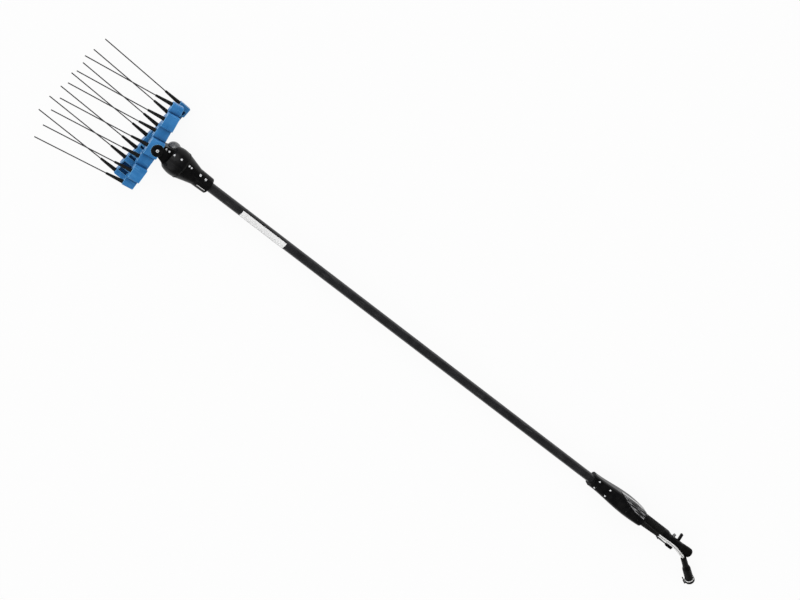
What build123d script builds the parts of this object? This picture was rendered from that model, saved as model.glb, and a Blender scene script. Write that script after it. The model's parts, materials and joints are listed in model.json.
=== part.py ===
"""Electric olive harvester: two swinging combs on a drive head, a pole, a control handle and its lead.

The tool lies flat: X runs along the pole from the combs (-X) to the grip (+X), Z is up.
The origin is on the flat rest face under the handle housing. Lengths are millimetres, angles degrees.
Each piece is built about the pole's axis and lifted to its height over the floor when it is written.
"""
import os
from collections import namedtuple
from math import cos, radians, sin, tan

from build123d import *

# Pole
POLE_DIAMETER = 28.0
POLE_WALL = 1.6
POLE_FREE_LENGTH = 1553.0
POLE_IN_COLLAR = 44.0
POLE_IN_HANDLE = 70.0
BAND_START = 122.0
BAND_LENGTH = 163.0
BAND_THICKNESS = 0.3
BAND_WRAP = 85.0
BAND_ROLL = -12.5
WIRE_DIAMETER = 8.0

# Head: a reach counts forward from the collar's rear edge, a back or forward size from the shelf
COLLAR_DIAMETER = 48.0
COLLAR_ROUNDING = 1.2
NECK_REACH = 46.0
NECK_DIAMETER = 51.0
SEAM_BACK = 48.0
SEAM_DIAMETER = 79.0
BULB_BACK = 32.0
BULB_DIAMETER = 82.0
BROW_DIAMETER = 72.0
CHIN_DIAMETER = 40.0
SHELF_REACH = 147.0
BROW_BACK = 7.0
CHIN_FORWARD = 11.0
PIVOT_FORWARD = 44.0
NOSE_DIAMETER = 36.0
NOSE_HEIGHT = 37.0
NOSE_ROUNDING = 2.5
NECK_ROOT_WIDTH = 56.0
NECK_TAPER = 16.0
NECK_BLEND = 20.0
HEAD_WALL = 3.5
RING_WIDTH = 4.0
RING_PROUD = 0.8
SLIT_WIDTH = 2.2
SLIT_DEPTH = 3.0
SLIT_LENGTH = 34.0
SLIT_ROLL = -63.0
CAP_BACK = 4.0
CAP_RADIUS = 21.0
CAP_SIDE = 19.5
CAP_DROP = 12.0

# Motor inside the head
MOTOR_DIAMETER = 44.0
MOTOR_LENGTH = 35.0
MOTOR_WALL = 6.0
MOTOR_AIR_GAP = 0.6
ROTOR_MARGIN = 3.0
MOUNT_BOSS_DIAMETER = 30.0
MOUNT_LIP = 2.0
BEARING_DIAMETER = 22.0
BEARING_WIDTH = 7.0
MOTOR_SHAFT_DIAMETER = 8.0

# Swing drive: a crank with two opposed pins rocks two forked arms
SWING_LIMIT = 7.0
SWING_AT_REST = 5.68
COMB_SKEW = 3.56
CRANK_SWEEP = 60.0
CRANK_SHARE = 0.92
ARM_UPPER = 53.0
ARM_LOWER = 67.0
COMB_SHAFT_DIAMETER = 12.0
LEVER_WIDTH = 12.0
LEVER_THICKNESS = 4.5
LEVER_HUB_DIAMETER = 18.0
FORK_THICKNESS = 6.0
FORK_PRONG = 6.0
FORK_PLAY = 0.8
ROLLER_DIAMETER = 7.0
ROLLER_OVERHANG = 1.0
CRANK_PIN_DIAMETER = 4.0
WEB_THICKNESS = 4.0
WEB_GAP = 2.0
WEB_DIAMETER = 26.0
BUSH_WALL = 2.0

# Combs
COMB_LEVEL = 24.0
COMB_STEP = 6.0
TINE_COUNT = 7
TINE_PITCH = 43.0
TINE_FAN = 0.24
TINE_LENGTH = 274.0
ROD_DIAMETER = 3.2
ROD_IN_BAR = 9.0
BOOT_LENGTH = 52.0
BOOT_ROOT_DIAMETER = 11.4
BOOT_TIP_DIAMETER = 6.6
SPIGOT_DIAMETER = 9.0
SPIGOT_LENGTH = 11.0
BAR_FRONT = 30.0
BAR_THICKNESS = 15.0
BAR_REAR_AT_HUB = 12.0
BAR_REAR_AT_END = 4.0
BAR_END_MARGIN = 7.5
BAR_OVERLAP = 1.5
BAR_ROUNDING = 3.0
STEP_ROUNDING = 5.0
CENTRE_STEP = 25.0
POCKET_DEPTH = 8.0
POCKET_WALL = 3.5
SOCKET_DIAMETER = 16.0
HUB_DIAMETER = 36.0
HUB_TOP = 40.4
HUB_ROUNDING = 3.0
SHAFT_TOP = 33.0
HUB_BOLT_DIAMETER = 9.0
HUB_BOLT_HEIGHT = 5.0
HUB_BOLT_SHANK = 6.0
HUB_BOLT_GRIP = 10.0

# Handle housing: cross sections from front to rear
HandleSection = namedtuple("HandleSection", "reach width belly crown corner")
HANDLE_SECTIONS = [
    HandleSection(reach=0.0, width=42.0, belly=-23.0, crown=22.0, corner=15.0),
    HandleSection(reach=62.0, width=45.0, belly=-30.0, crown=25.0, corner=16.0),
    HandleSection(reach=125.0, width=53.0, belly=-37.0, crown=31.0, corner=18.0),
    HandleSection(reach=190.0, width=52.0, belly=-37.0, crown=35.0, corner=18.0),
    HandleSection(reach=222.0, width=45.0, belly=-29.0, crown=36.5, corner=14.0),
]
HANDLE_WALL = 3.0
BELLY_REACH = 148.0
PLINTH_LENGTH = 90.0
PLINTH_WIDTH = 36.0
PLINTH_CORNER = 8.0
PLINTH_OVERLAP = 1.0
HANDLE_SCREW_ROWS = ((18.0, 11.5), (64.0, 11.5), (154.0, 9.0))
BOARD_REACH = 84.0
BOARD_LENGTH = 104.0
BOARD_WIDTH = 36.0
BOARD_THICKNESS = 1.6
BOARD_LEVEL = -21.0
BOARD_RIB = 4.0
COVER_EDGE = ((108.0, 27.0), (147.0, 15.0), (196.0, 5.0))
COVER_END = 214.0
COVER_THICKNESS = 1.2
COVER_RIB_HEIGHT = 1.4
COVER_RIB_WIDTH = 2.2
COVER_RIB_ROLLS = range(6, 90, 14)
COVER_LEVEL = 3.0

# Rear grip, with every reach counted back from the housing's rear edge
CORE_ROOT = 22.0
CORE_DIAMETER = 30.0
SLEEVE_GAP = 3.0
SLEEVE_END = 93.0
GRIP_DIAMETER = 36.4
GRIP_TAPER_START = 113.0
GRIP_TAPER_END = 131.0
SLEEVE_GROOVES = 12
SLEEVE_GROOVE_WIDTH = 1.6
SLEEVE_GROOVE_DEPTH = 0.7
CORE_END = 184.0
GRIP_WAIST = 27.0
POMMEL_END = 230.0
POMMEL_DIAMETER = 30.4
POMMEL_FLARE_END = 214.0
POMMEL_ROUNDING = 8.0
POMMEL_SPIGOT = 9.0
POMMEL_SPIGOT_DIAMETER = 18.0

# Trigger lever on the -Y side of the grip
TRIGGER_PIVOT_REACH = 99.0
TRIGGER_PIVOT_SIDE = 20.0
TRIGGER_END = 165.0
TRIGGER_PAD_LENGTH = 26.0
TRIGGER_PAD_DEPTH = 9.8
TRIGGER_THICKNESS = 2.6
TRIGGER_INNER_SIDE = 19.4
TRIGGER_PAD_INNER = 16.2
TRIGGER_HEIGHT = 8.0
TRIGGER_ROUNDING = 1.0
TRIGGER_EYE_DIAMETER = 6.0
EAR_THICKNESS = 3.0
EAR_LENGTH = 6.4
EAR_CLEARANCE = 0.4
PIN_DIAMETER = 3.0
SPRING_REACH = 141.0
SPRING_LENGTH = 18.0
SPRING_WIDTH = 5.0
SPRING_THICKNESS = 0.6
SPRING_FOOT = 8.0

# Lock lever and hold button on the +Y side of the grip
LOCK_REACH = 164.0
LOCK_SIDE = 8.0
LOCK_TIP_SIDE = 36.0
LOCK_LEAN = 15.0
LOCK_THICKNESS = 8.0
LOCK_HEIGHT = 7.0
LOCK_EYE_DIAMETER = 9.0
LOCK_SLOT_FRONT = 9.0
LOCK_SLOT_REAR = 8.5
LOCK_CLEARANCE = 0.4
BUTTON_REACH = 139.0
BUTTON_DIAMETER = 10.0
BUTTON_TIP_SIDE = 22.0
BUTTON_LENGTH = 15.5
BUTTON_TRAVEL = 2.5
BUTTON_FIT = 0.08

# Power lead
CABLE_DIAMETER = 9.0
RELIEF_SIDE = -7.0
RELIEF_LEVEL = 26.5
RELIEF_ROOT = 6.0
RELIEF_LENGTH = 77.0
RELIEF_ROOT_DIAMETER = 18.0
RELIEF_TIP_DIAMETER = 12.0
RELIEF_GROOVES = 7
RELIEF_GROOVE_WIDTH = 2.0
RELIEF_GROOVE_DEPTH = 0.8
CABLE_ROUTE = [
    (77.0, -7.0, 26.5),
    (104.0, -7.0, 26.5),
    (132.0, -5.6, 26.3),
    (157.0, -6.4, 25.6),
    (185.0, -12.2, 22.8),
    (211.4, -18.7, 17.0),
]
ARC_SHARE = 0.45

# Connector on the lead's end, with every reach counted from its rear
CONNECTOR_PLACE = (206.4, -16.1, 19.0)
CONNECTOR_TURN = 27.3
CONNECTOR_DIP = 19.3
BOOT_END = 46.0
BOOT_REAR_DIAMETER = 18.4
BOOT_FRONT_DIAMETER = 19.0
BOOT_ROUNDING = 8.0
WAIST_DIAMETER = 17.6
SHOULDER_REACH = 64.0
SHOULDER_DIAMETER = 26.0
SHELL_END = 120.0
SHELL_DIAMETER = 27.0
SEAL_END = 123.5
SEAL_DIAMETER = 29.0
SEAL_GROOVE_DIAMETER = 25.0
NUT_END = 133.0
NUT_DIAMETER = 31.6
MOUTH_DIAMETER = 22.0
MOUTH_DEPTH = 24.0
CONTACT_COUNT = 3
CONTACT_DIAMETER = 4.0
CONTACT_CIRCLE = 11.0
CONTACT_LENGTH = 16.0
LATCH_REACH = 128.0
LATCH_SIDE = 18.8
LATCH_LENGTH = 21.0
LATCH_THICKNESS = 2.0
LATCH_WIDTH = 8.0
LATCH_EYE_DIAMETER = 4.4
LATCH_TIP_DIAMETER = 3.2
LATCH_PIN_DIAMETER = 2.0

# Screws
ScrewSize = namedtuple("ScrewSize", "head height shank length proud")
HEAD_SCREW = ScrewSize(head=6.0, height=2.6, shank=3.4, length=6.0, proud=0.7)
COLLAR_SCREW = ScrewSize(head=7.4, height=3.4, shank=5.0, length=7.4, proud=0.9)
HANDLE_SCREW = ScrewSize(head=6.4, height=2.8, shank=3.6, length=7.0, proud=0.4)
HEAD_SCREW_ROLL = 31.0
COLLAR_SCREW_ROLL = 35.0
REAR_SCREWS_BACK = (65.0, 56.5)
SHELL_SCREWS_BACK = (26.0, 5.0)
NECK_SCREW_STEPS = (10.0, 21.0)
NECK_SCREW_SIDE = 14.0
COLLAR_SCREWS_BACK = (122.0, 102.0)

# Clearances
RUNNING_FIT = 0.05
SEAT_FIT = 0.02
FREE_GAP = 0.4
SHAFT_GAP = 0.3

# Places that follow from the sizes above
SEAM_REACH = SHELF_REACH - SEAM_BACK
BULB_REACH = SHELF_REACH - BULB_BACK
CAP_REACH = SHELF_REACH - CAP_BACK
BROW_REACH = SHELF_REACH - BROW_BACK
CHIN_REACH = SHELF_REACH + CHIN_FORWARD
PIVOT_REACH = SHELF_REACH + PIVOT_FORWARD
REAR_SCREW_REACHES = tuple(SHELF_REACH - back for back in REAR_SCREWS_BACK)
SHELL_SCREW_REACHES = tuple(SHELF_REACH - back for back in SHELL_SCREWS_BACK)
COLLAR_SCREW_REACHES = tuple(SHELF_REACH - back for back in COLLAR_SCREWS_BACK)
AXIS_HEIGHT = BULB_DIAMETER / 2
HANDLE_FRONT_X = -BELLY_REACH
HANDLE_REAR_X = HANDLE_FRONT_X + HANDLE_SECTIONS[-1].reach
COLLAR_X = HANDLE_FRONT_X - POLE_FREE_LENGTH
PIVOT_X = COLLAR_X - PIVOT_REACH
THROW_UPPER = ARM_UPPER * tan(radians(SWING_LIMIT)) / CRANK_SHARE
THROW_LOWER = ARM_LOWER * tan(radians(SWING_LIMIT)) / CRANK_SHARE
LEVER_FLOOR = THROW_UPPER + ROLLER_DIAMETER / 2 + FREE_GAP + SHAFT_GAP
LEVER_TOP = LEVER_FLOOR + LEVER_THICKNESS
HUB_FLOOR = NOSE_HEIGHT / 2 + FREE_GAP
MOUNT_DIAMETER = SEAM_DIAMETER - 2 * HEAD_WALL + 2 * MOUNT_LIP
BIG = 400.0


# Plain shapes along the frame's axes
def bar_x(diameter, start, end, side=0.0, level=0.0):
    """Round bar along X between two places."""
    middle = Pos((start + end) / 2, side, level)
    return middle * Rot(0, 90, 0) * Cylinder(diameter / 2, abs(end - start))


def bar_z(diameter, start, end, x=0.0, y=0.0):
    """Upright round bar between two levels."""
    return Pos(x, y, (start + end) / 2) * Cylinder(diameter / 2, abs(end - start))


def block(x_range, y_range, z_range):
    """Box between two corners given as ranges."""
    sizes = [high - low for low, high in (x_range, y_range, z_range)]
    middle = [(high + low) / 2 for low, high in (x_range, y_range, z_range)]
    return Pos(*middle) * Box(*sizes)


def turned(points):
    """Solid turned about the X axis from outline points (x, radius)."""
    corners = [(x, 0, radius) for x, radius in points]
    outline = Polyline(*corners, close=True)
    return revolve(Face(Wire(outline.edges())), Axis.X, 360)


def ahead(reach):
    """Place on the pole's axis, counted forward from the collar's rear edge."""
    return COLLAR_X - reach


def behind(reach):
    """Place on the pole's axis, counted back from the housing's rear edge."""
    return HANDLE_REAR_X + reach


def radial_screw(size, x, radius, roll):
    """Screw whose head stands slightly proud of a round surface, rolled from the top towards +Y."""
    top = radius + size.proud
    head = bar_z(size.head, top - size.height, top)
    head = chamfer(head.edges().group_by(Axis.Z)[-1], size.proud / 2)
    shank = bar_z(size.shank, top - size.height - size.length, top - size.height)
    return Pos(x, 0, 0) * Rot(-roll, 0, 0) * (head + shank)


def upright_screw(size, x, y, surface):
    """Screw driven down into a level surface."""
    top = surface + size.proud
    head = bar_z(size.head, top - size.height, top, x, y)
    head = chamfer(head.edges().group_by(Axis.Z)[-1], size.proud / 2)
    return head + bar_z(size.shank, top - size.height - size.length, top - size.height, x, y)


def surface_level(form, x, y, diameter):
    """Mean height of a form's upper surface inside a small circle."""
    column = bar_z(diameter, 0, BIG, x, y) & form
    return column.volume / Circle(diameter / 2).area


def flipped(shape):
    """The same shape turned half round the pole's axis."""
    return Rot(180, 0, 0) * shape


def mirrored_down(shape):
    """Mirror image below the pole's axis."""
    return mirror(shape, about=Plane.XY)


# Pole
def make_pole():
    start = ahead(POLE_IN_COLLAR)
    end = HANDLE_FRONT_X + POLE_IN_HANDLE
    tube = bar_x(POLE_DIAMETER, start, end)
    return tube - bar_x(POLE_DIAMETER - 2 * POLE_WALL, start, end)


def make_band():
    start = COLLAR_X + BAND_START
    inner = POLE_DIAMETER / 2 + SEAT_FIT
    strip = block((start, start + BAND_LENGTH), (0, BAND_THICKNESS), (inner, inner + BAND_THICKNESS))
    strip_face = strip.faces().sort_by(Axis.Y)[0]
    sheet = revolve(strip_face, Axis.X, BAND_WRAP)
    return Rot(BAND_WRAP / 2 - BAND_ROLL - BAND_WRAP, 0, 0) * sheet


def make_inner_wire():
    level = -(POLE_DIAMETER / 2 - POLE_WALL - WIRE_DIAMETER / 2 - SHAFT_GAP)
    return bar_x(WIRE_DIAMETER, ahead(POLE_IN_COLLAR), HANDLE_FRONT_X + POLE_IN_HANDLE, level=level)


# Head housing
def head_outline(inset, rear_reach, front_reach=CHIN_REACH, front_diameter=CHIN_DIAMETER):
    """Turned form of the head between two reaches, drawn in by an inset."""
    slope = (SEAM_DIAMETER - NECK_DIAMETER) / (SEAM_REACH - NECK_REACH)
    rear_radius = (NECK_DIAMETER + slope * (rear_reach - NECK_REACH)) / 2 - inset
    rear = Vector(ahead(rear_reach), 0, rear_radius)
    seam = Vector(ahead(SEAM_REACH), 0, SEAM_DIAMETER / 2 - inset)
    crown = Vector(ahead(BULB_REACH), 0, BULB_DIAMETER / 2 - inset)
    brow = Vector(ahead(BROW_REACH), 0, BROW_DIAMETER / 2 - inset)
    chin = Vector(ahead(front_reach), 0, front_diameter / 2 - inset)
    edges = [
        Line(rear, seam),
        ThreePointArc(seam, crown, brow),
        Line(brow, chin),
        Line(chin, (chin.X, 0, 0)),
        Line((chin.X, 0, 0), (rear.X, 0, 0)),
        Line((rear.X, 0, 0), rear),
    ]
    return revolve(Face(Wire(edges)), Axis.X, 360)


def head_cavity(rear_reach):
    """Hollow for motor and drive, closed in front by the wall at the shelf."""
    end = SHELF_REACH - HEAD_WALL
    fall = (BROW_DIAMETER - CHIN_DIAMETER) / (CHIN_REACH - BROW_REACH)
    end_diameter = BROW_DIAMETER - fall * (end - BROW_REACH)
    return head_outline(HEAD_WALL, rear_reach, end, end_diameter)


def head_form():
    """Whole turned form of the head from the collar to the chin."""
    edge = (ahead(0), COLLAR_DIAMETER / 2)
    collar = turned([edge, (ahead(NECK_REACH), NECK_DIAMETER / 2), (ahead(NECK_REACH), 0), (ahead(0), 0)])
    collar = fillet(collar.edges().group_by(Axis.X)[-1], COLLAR_ROUNDING)
    return collar + head_outline(0, NECK_REACH)


def make_rear_housing(screws):
    front = SEAM_REACH - RING_WIDTH / 2
    motor_rear = front - MOTOR_LENGTH
    body = head_form() & block((ahead(front), COLLAR_X), (-BIG, BIG), (-BIG, BIG))
    body -= bar_x(POLE_DIAMETER + 2 * SEAT_FIT, ahead(0), ahead(POLE_IN_COLLAR))
    body -= head_cavity(motor_rear)
    body -= bar_x(POLE_DIAMETER - 2 * POLE_WALL, ahead(POLE_IN_COLLAR), ahead(motor_rear))
    slit = block(
        (ahead(SLIT_LENGTH), ahead(0)),
        (-SLIT_WIDTH / 2, SLIT_WIDTH / 2),
        (COLLAR_DIAMETER / 2 - SLIT_DEPTH, COLLAR_DIAMETER),
    )
    body -= Rot(-SLIT_ROLL, 0, 0) * slit
    for screw in screws:
        body -= screw
    return body


def make_seam_ring():
    width = (ahead(SEAM_REACH + RING_WIDTH / 2), ahead(SEAM_REACH - RING_WIDTH / 2))
    ring = bar_x(SEAM_DIAMETER + 2 * RING_PROUD, *width)
    ring = fillet(ring.edges(), RING_PROUD)
    return ring - bar_x(MOUNT_DIAMETER + 2 * SEAT_FIT, *width)


def nose_outline():
    """Seen from above: round tip about the pivot, straight flanks, then a neck that widens to the bulb."""
    side = NOSE_DIAMETER / 2
    root = NECK_ROOT_WIDTH / 2
    taper_x = PIVOT_X + NECK_TAPER
    rear_x = ahead(SHELF_REACH - HEAD_WALL)
    tip = ThreePointArc((PIVOT_X, side), (PIVOT_X - side, 0), (PIVOT_X, -side))
    right = [(PIVOT_X, -side), (taper_x, -side), (rear_x, -root)]
    left = [(x, -y) for x, y in reversed(right)]
    outline = make_face(tip + Polyline(*right, *left))
    corners = [vertex for vertex in outline.vertices() if abs(vertex.X - taper_x) < FREE_GAP]
    return fillet(corners, NECK_BLEND)


def make_nose():
    """Nose that carries both comb shafts, with rounded rims in front of the bulb."""
    nose = Pos(0, 0, -NOSE_HEIGHT / 2) * extrude(nose_outline(), NOSE_HEIGHT)
    rear_x = nose.bounding_box().max.X
    level_edges = nose.edges().filter_by(lambda edge: abs(edge.tangent_at(0.5).Z) < 0.5)
    rims = [edge for edge in level_edges if edge.center().X < rear_x - NOSE_ROUNDING]
    return fillet(rims, NOSE_ROUNDING)


def nose_cuts():
    """Lever slot, shaft bore and bush seat in the upper half of the nose."""
    reach_half = NOSE_DIAMETER / 2 - HEAD_WALL
    swing = (PIVOT_REACH - SHELF_REACH + HEAD_WALL) * sin(radians(SWING_LIMIT))
    side = LEVER_WIDTH / 2 + swing + FREE_GAP
    slot_levels = (LEVER_FLOOR - FREE_GAP, LEVER_TOP + FREE_GAP)
    slot = block((PIVOT_X, ahead(SHELF_REACH - HEAD_WALL)), (-side, side), slot_levels)
    slot += bar_z(2 * min(reach_half, LEVER_HUB_DIAMETER / 2 + SHAFT_GAP), *slot_levels, PIVOT_X)
    bore = bar_z(COMB_SHAFT_DIAMETER + 2 * SHAFT_GAP, LEVER_TOP, NOSE_HEIGHT, PIVOT_X)
    seat = bar_z(COMB_SHAFT_DIAMETER + 2 * RUNNING_FIT + 2 * BUSH_WALL, 0, LEVER_FLOOR, PIVOT_X)
    return slot + bore + seat


def make_front_shell():
    """Upper half of the bulb and nose, without its screw holes."""
    rear = SEAM_REACH + RING_WIDTH / 2
    body = head_outline(0, SEAM_REACH - RING_WIDTH)
    body &= block((-BIG + PIVOT_X, ahead(rear)), (-BIG, BIG), (0, BIG))
    shelf = block((PIVOT_X - BIG, ahead(SHELF_REACH)), (-BIG, BIG), (NOSE_HEIGHT / 2, BIG))
    nose = make_nose() & block((PIVOT_X - BIG, COLLAR_X), (-BIG, BIG), (0, BIG))
    body = body - shelf + nose
    return body - head_cavity(SEAM_REACH - RING_WIDTH) - nose_cuts()


def make_side_cap():
    ball = Pos(ahead(CAP_REACH), CAP_SIDE, -CAP_DROP) * Sphere(CAP_RADIUS)
    cap = ball - head_outline(0, NECK_REACH) - make_nose()
    return max(cap.solids(), key=lambda solid: solid.volume)


def make_head_screws(reaches, size, roll):
    """Row of radial screws, each seated on the turned form of the head."""
    form = head_form()
    screws = []
    for reach in reaches:
        radius = surface_level(form, ahead(reach), 0, size.shank)
        screws.append(radial_screw(size, ahead(reach), radius, roll))
    return screws


# Motor
def make_motor_can():
    rear = SEAM_REACH - RING_WIDTH / 2 - MOTOR_LENGTH
    front = SEAM_REACH - RING_WIDTH / 2
    can = bar_x(MOTOR_DIAMETER, ahead(rear), ahead(front))
    can -= bar_x(MOTOR_DIAMETER - 2 * MOTOR_WALL, ahead(rear + BEARING_WIDTH + 1), ahead(front))
    can -= bar_x(BEARING_DIAMETER + 2 * SEAT_FIT, ahead(rear + 1), ahead(rear + BEARING_WIDTH + 1))
    return can


def make_motor_mount():
    rear = SEAM_REACH - RING_WIDTH / 2
    front = SEAM_REACH + RING_WIDTH / 2
    boss_front = rear + BEARING_WIDTH + 2
    plate = bar_x(MOUNT_DIAMETER, ahead(rear), ahead(front))
    plate += bar_x(MOUNT_BOSS_DIAMETER, ahead(rear), ahead(boss_front))
    plate -= bar_x(BEARING_DIAMETER + 2 * SEAT_FIT, ahead(rear + 1), ahead(rear + 1 + BEARING_WIDTH))
    clear_bore = BEARING_DIAMETER - 2 * BUSH_WALL
    return plate - bar_x(clear_bore, ahead(rear), ahead(boss_front))


def make_bearings():
    rear = SEAM_REACH - RING_WIDTH / 2
    starts = (rear - MOTOR_LENGTH + 1, rear + 1)
    bearings = []
    for start in starts:
        ring = bar_x(BEARING_DIAMETER, ahead(start), ahead(start + BEARING_WIDTH))
        ring -= bar_x(MOTOR_SHAFT_DIAMETER + 2 * RUNNING_FIT, ahead(start), ahead(start + BEARING_WIDTH))
        bearings.append(ring)
    return bearings


def make_rotor():
    rear = SEAM_REACH - RING_WIDTH / 2 - MOTOR_LENGTH
    front = SEAM_REACH - RING_WIDTH / 2
    magnet_ends = (ahead(rear + BEARING_WIDTH + 1 + ROTOR_MARGIN), ahead(front - ROTOR_MARGIN))
    outside = MOTOR_DIAMETER - 2 * MOTOR_WALL - 2 * MOTOR_AIR_GAP
    return bar_x(outside, *magnet_ends) - bar_x(MOTOR_SHAFT_DIAMETER, *magnet_ends)


# Crank and rocker arms
def roller_ends(arm):
    half = FORK_THICKNESS / 2 + ROLLER_OVERHANG
    return PIVOT_X + arm + half, PIVOT_X + arm - half


def crank_turned(shape):
    """Turn a crank piece to where the crank stands at rest."""
    return Rot(-CRANK_SWEEP * SWING_AT_REST / SWING_LIMIT, 0, 0) * shape


def make_crank():
    """Motor shaft, balanced disc, and two opposed pins joined by a web."""
    rear = ahead(SEAM_REACH - RING_WIDTH / 2 - MOTOR_LENGTH + 1)
    lower_rear, lower_front = roller_ends(ARM_LOWER)
    upper_rear, upper_front = roller_ends(ARM_UPPER)
    disc_front = lower_rear + WEB_GAP / 2
    disc_rear = disc_front + WEB_THICKNESS
    web_middle = (lower_front + upper_rear) / 2
    web_ends = (web_middle + WEB_THICKNESS / 2, web_middle - WEB_THICKNESS / 2)
    shaft = bar_x(MOTOR_SHAFT_DIAMETER, rear, disc_rear)
    disc = bar_x(WEB_DIAMETER, disc_rear, disc_front)
    lower_pin = bar_x(CRANK_PIN_DIAMETER, disc_front, web_ends[0], level=-THROW_LOWER)
    upper_pin = bar_x(CRANK_PIN_DIAMETER, web_ends[1], upper_front, level=THROW_UPPER)
    half = CRANK_PIN_DIAMETER / 2
    web = block(web_ends[::-1], (-half, half), (-THROW_LOWER, THROW_UPPER))
    web += bar_x(CRANK_PIN_DIAMETER, *web_ends, level=-THROW_LOWER)
    web += bar_x(CRANK_PIN_DIAMETER, *web_ends, level=THROW_UPPER)
    return crank_turned(shaft + disc + lower_pin + web + upper_pin)


def make_rollers():
    rollers = []
    for arm, level in ((ARM_LOWER, -THROW_LOWER), (ARM_UPPER, THROW_UPPER)):
        ends = roller_ends(arm)
        ring = bar_x(ROLLER_DIAMETER, *ends, level=level)
        ring -= bar_x(CRANK_PIN_DIAMETER + 2 * SEAT_FIT, *ends, level=level)
        rollers.append(crank_turned(ring))
    return rollers


def make_arm(arm, throw):
    """Comb shaft with its lever and the fork that straddles a crank roller, lever above the axis."""
    slot_end = throw + ROLLER_DIAMETER / 2 + FREE_GAP
    shaft = bar_z(COMB_SHAFT_DIAMETER, FREE_GAP, SHAFT_TOP)
    shaft -= bar_z(HUB_BOLT_SHANK + 2 * SEAT_FIT, SHAFT_TOP - HUB_BOLT_GRIP, SHAFT_TOP)
    lever_levels = (LEVER_FLOOR, LEVER_TOP)
    lever = block((0, arm + FORK_THICKNESS / 2), (-LEVER_WIDTH / 2, LEVER_WIDTH / 2), lever_levels)
    lever += bar_z(LEVER_HUB_DIAMETER, *lever_levels)
    gap = ROLLER_DIAMETER / 2 + FORK_PLAY
    side = gap + FORK_PRONG
    half = FORK_THICKNESS / 2
    fork = block((arm - half, arm + half), (-side, side), (-slot_end, LEVER_TOP))
    reach = half + ROLLER_OVERHANG + FREE_GAP
    slot = block((arm - reach, arm + reach), (-gap, gap), (-slot_end, slot_end))
    return shaft + (lever + fork - slot)


def make_bush():
    bore_diameter = COMB_SHAFT_DIAMETER + 2 * RUNNING_FIT
    outside = bar_z(bore_diameter + 2 * BUSH_WALL, FREE_GAP, LEVER_FLOOR - FREE_GAP)
    bore = bar_z(bore_diameter, 0, LEVER_FLOOR)
    return Pos(PIVOT_X, 0, 0) * (outside - bore)


# Combs, built with the pivot at the origin and the tines pointing to -X
def tine_side(index):
    return (index - (TINE_COUNT - 1) / 2) * TINE_PITCH


def tine_level(index):
    outward = 1 if index % 2 else -1
    return COMB_LEVEL + outward * COMB_STEP


def tine_frame(index):
    """Frame at a socket's mouth with X pointing back along the tine."""
    fan = -(index - (TINE_COUNT - 1) / 2) * TINE_FAN
    return Pos(-BAR_FRONT, tine_side(index), tine_level(index)) * Rot(0, 0, fan)


def bar_rear(side):
    """X of the bar's rear edge, which sweeps forward from the hub to the ends."""
    span = (TINE_COUNT - 1) / 2 * TINE_PITCH + BAR_END_MARGIN
    share = abs(side) / span
    return BAR_REAR_AT_HUB + (BAR_REAR_AT_END - BAR_REAR_AT_HUB) * share


def step_edge(index):
    """Side where one step of the bar ends and the next begins."""
    middle = (TINE_COUNT - 1) // 2
    if index == middle:
        return -CENTRE_STEP
    if index == middle + 1:
        return CENTRE_STEP
    return (tine_side(index - 1) + tine_side(index)) / 2


def segment_sides(index):
    """Side range of one step of the bar, drawn in at the free ends."""
    low = step_edge(index) - BAR_OVERLAP
    high = step_edge(index + 1) + BAR_OVERLAP
    if index == 0:
        low = tine_side(index) - BAR_END_MARGIN
    if index == TINE_COUNT - 1:
        high = tine_side(index) + BAR_END_MARGIN
    return low, high


def make_segment(index):
    """One step of the stepped bar, with its pockets on the inner side and the socket between them."""
    low, high = segment_sides(index)
    floor = tine_level(index) - BAR_THICKNESS / 2
    top = floor + BAR_THICKNESS
    corners = [(-BAR_FRONT, low), (bar_rear(low), low), (bar_rear(high), high), (-BAR_FRONT, high)]
    plan = fillet(Polygon(*corners, align=None).vertices(), BAR_ROUNDING)
    outline = Polygon((low, floor), (high, floor), (high, top), (low, top), align=None)
    outline = fillet(outline.vertices().group_by(Axis.Y)[-1], STEP_ROUNDING)
    shoulder = Plane(origin=(-BIG, 0, 0), x_dir=(0, 1, 0), z_dir=(1, 0, 0)) * outline
    segment = extrude(shoulder, 2 * BIG) & (Pos(0, 0, floor) * extrude(plan, BAR_THICKNESS))
    if index == (TINE_COUNT - 1) // 2:
        return segment
    side = tine_side(index)
    half = SOCKET_DIAMETER / 2
    rear = min(bar_rear(low), bar_rear(high)) - POCKET_WALL
    for inner, outer in ((side - half, low + POCKET_WALL), (side + half, high - POCKET_WALL)):
        if abs(outer - side) > half + POCKET_WALL / 2:
            y_range = (min(inner, outer), max(inner, outer))
            segment -= block((-BAR_FRONT + POCKET_WALL, rear), y_range, (floor, floor + POCKET_DEPTH))
    return segment


def make_comb_bar():
    """Stepped bar that embraces the hub, with its sockets bored for the boots."""
    bar = make_segment(0)
    for index in range(1, TINE_COUNT):
        bar += make_segment(index)
    for index in range(TINE_COUNT):
        bar -= tine_frame(index) * bar_x(SPIGOT_DIAMETER, -1, SPIGOT_LENGTH)
        bar -= tine_frame(index) * bar_x(BOOT_ROOT_DIAMETER + FREE_GAP, -1, 0)
    return bar - bar_z(HUB_DIAMETER + 2 * SEAT_FIT, -HUB_TOP, HUB_TOP)


def make_boot(index):
    outline = [
        (SPIGOT_LENGTH, SPIGOT_DIAMETER / 2 - SEAT_FIT),
        (0, SPIGOT_DIAMETER / 2 - SEAT_FIT),
        (0, BOOT_ROOT_DIAMETER / 2),
        (-BOOT_LENGTH, BOOT_TIP_DIAMETER / 2),
        (-BOOT_LENGTH, ROD_DIAMETER / 2 + SEAT_FIT),
        (SPIGOT_LENGTH, ROD_DIAMETER / 2 + SEAT_FIT),
    ]
    return tine_frame(index) * turned(outline)


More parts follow.
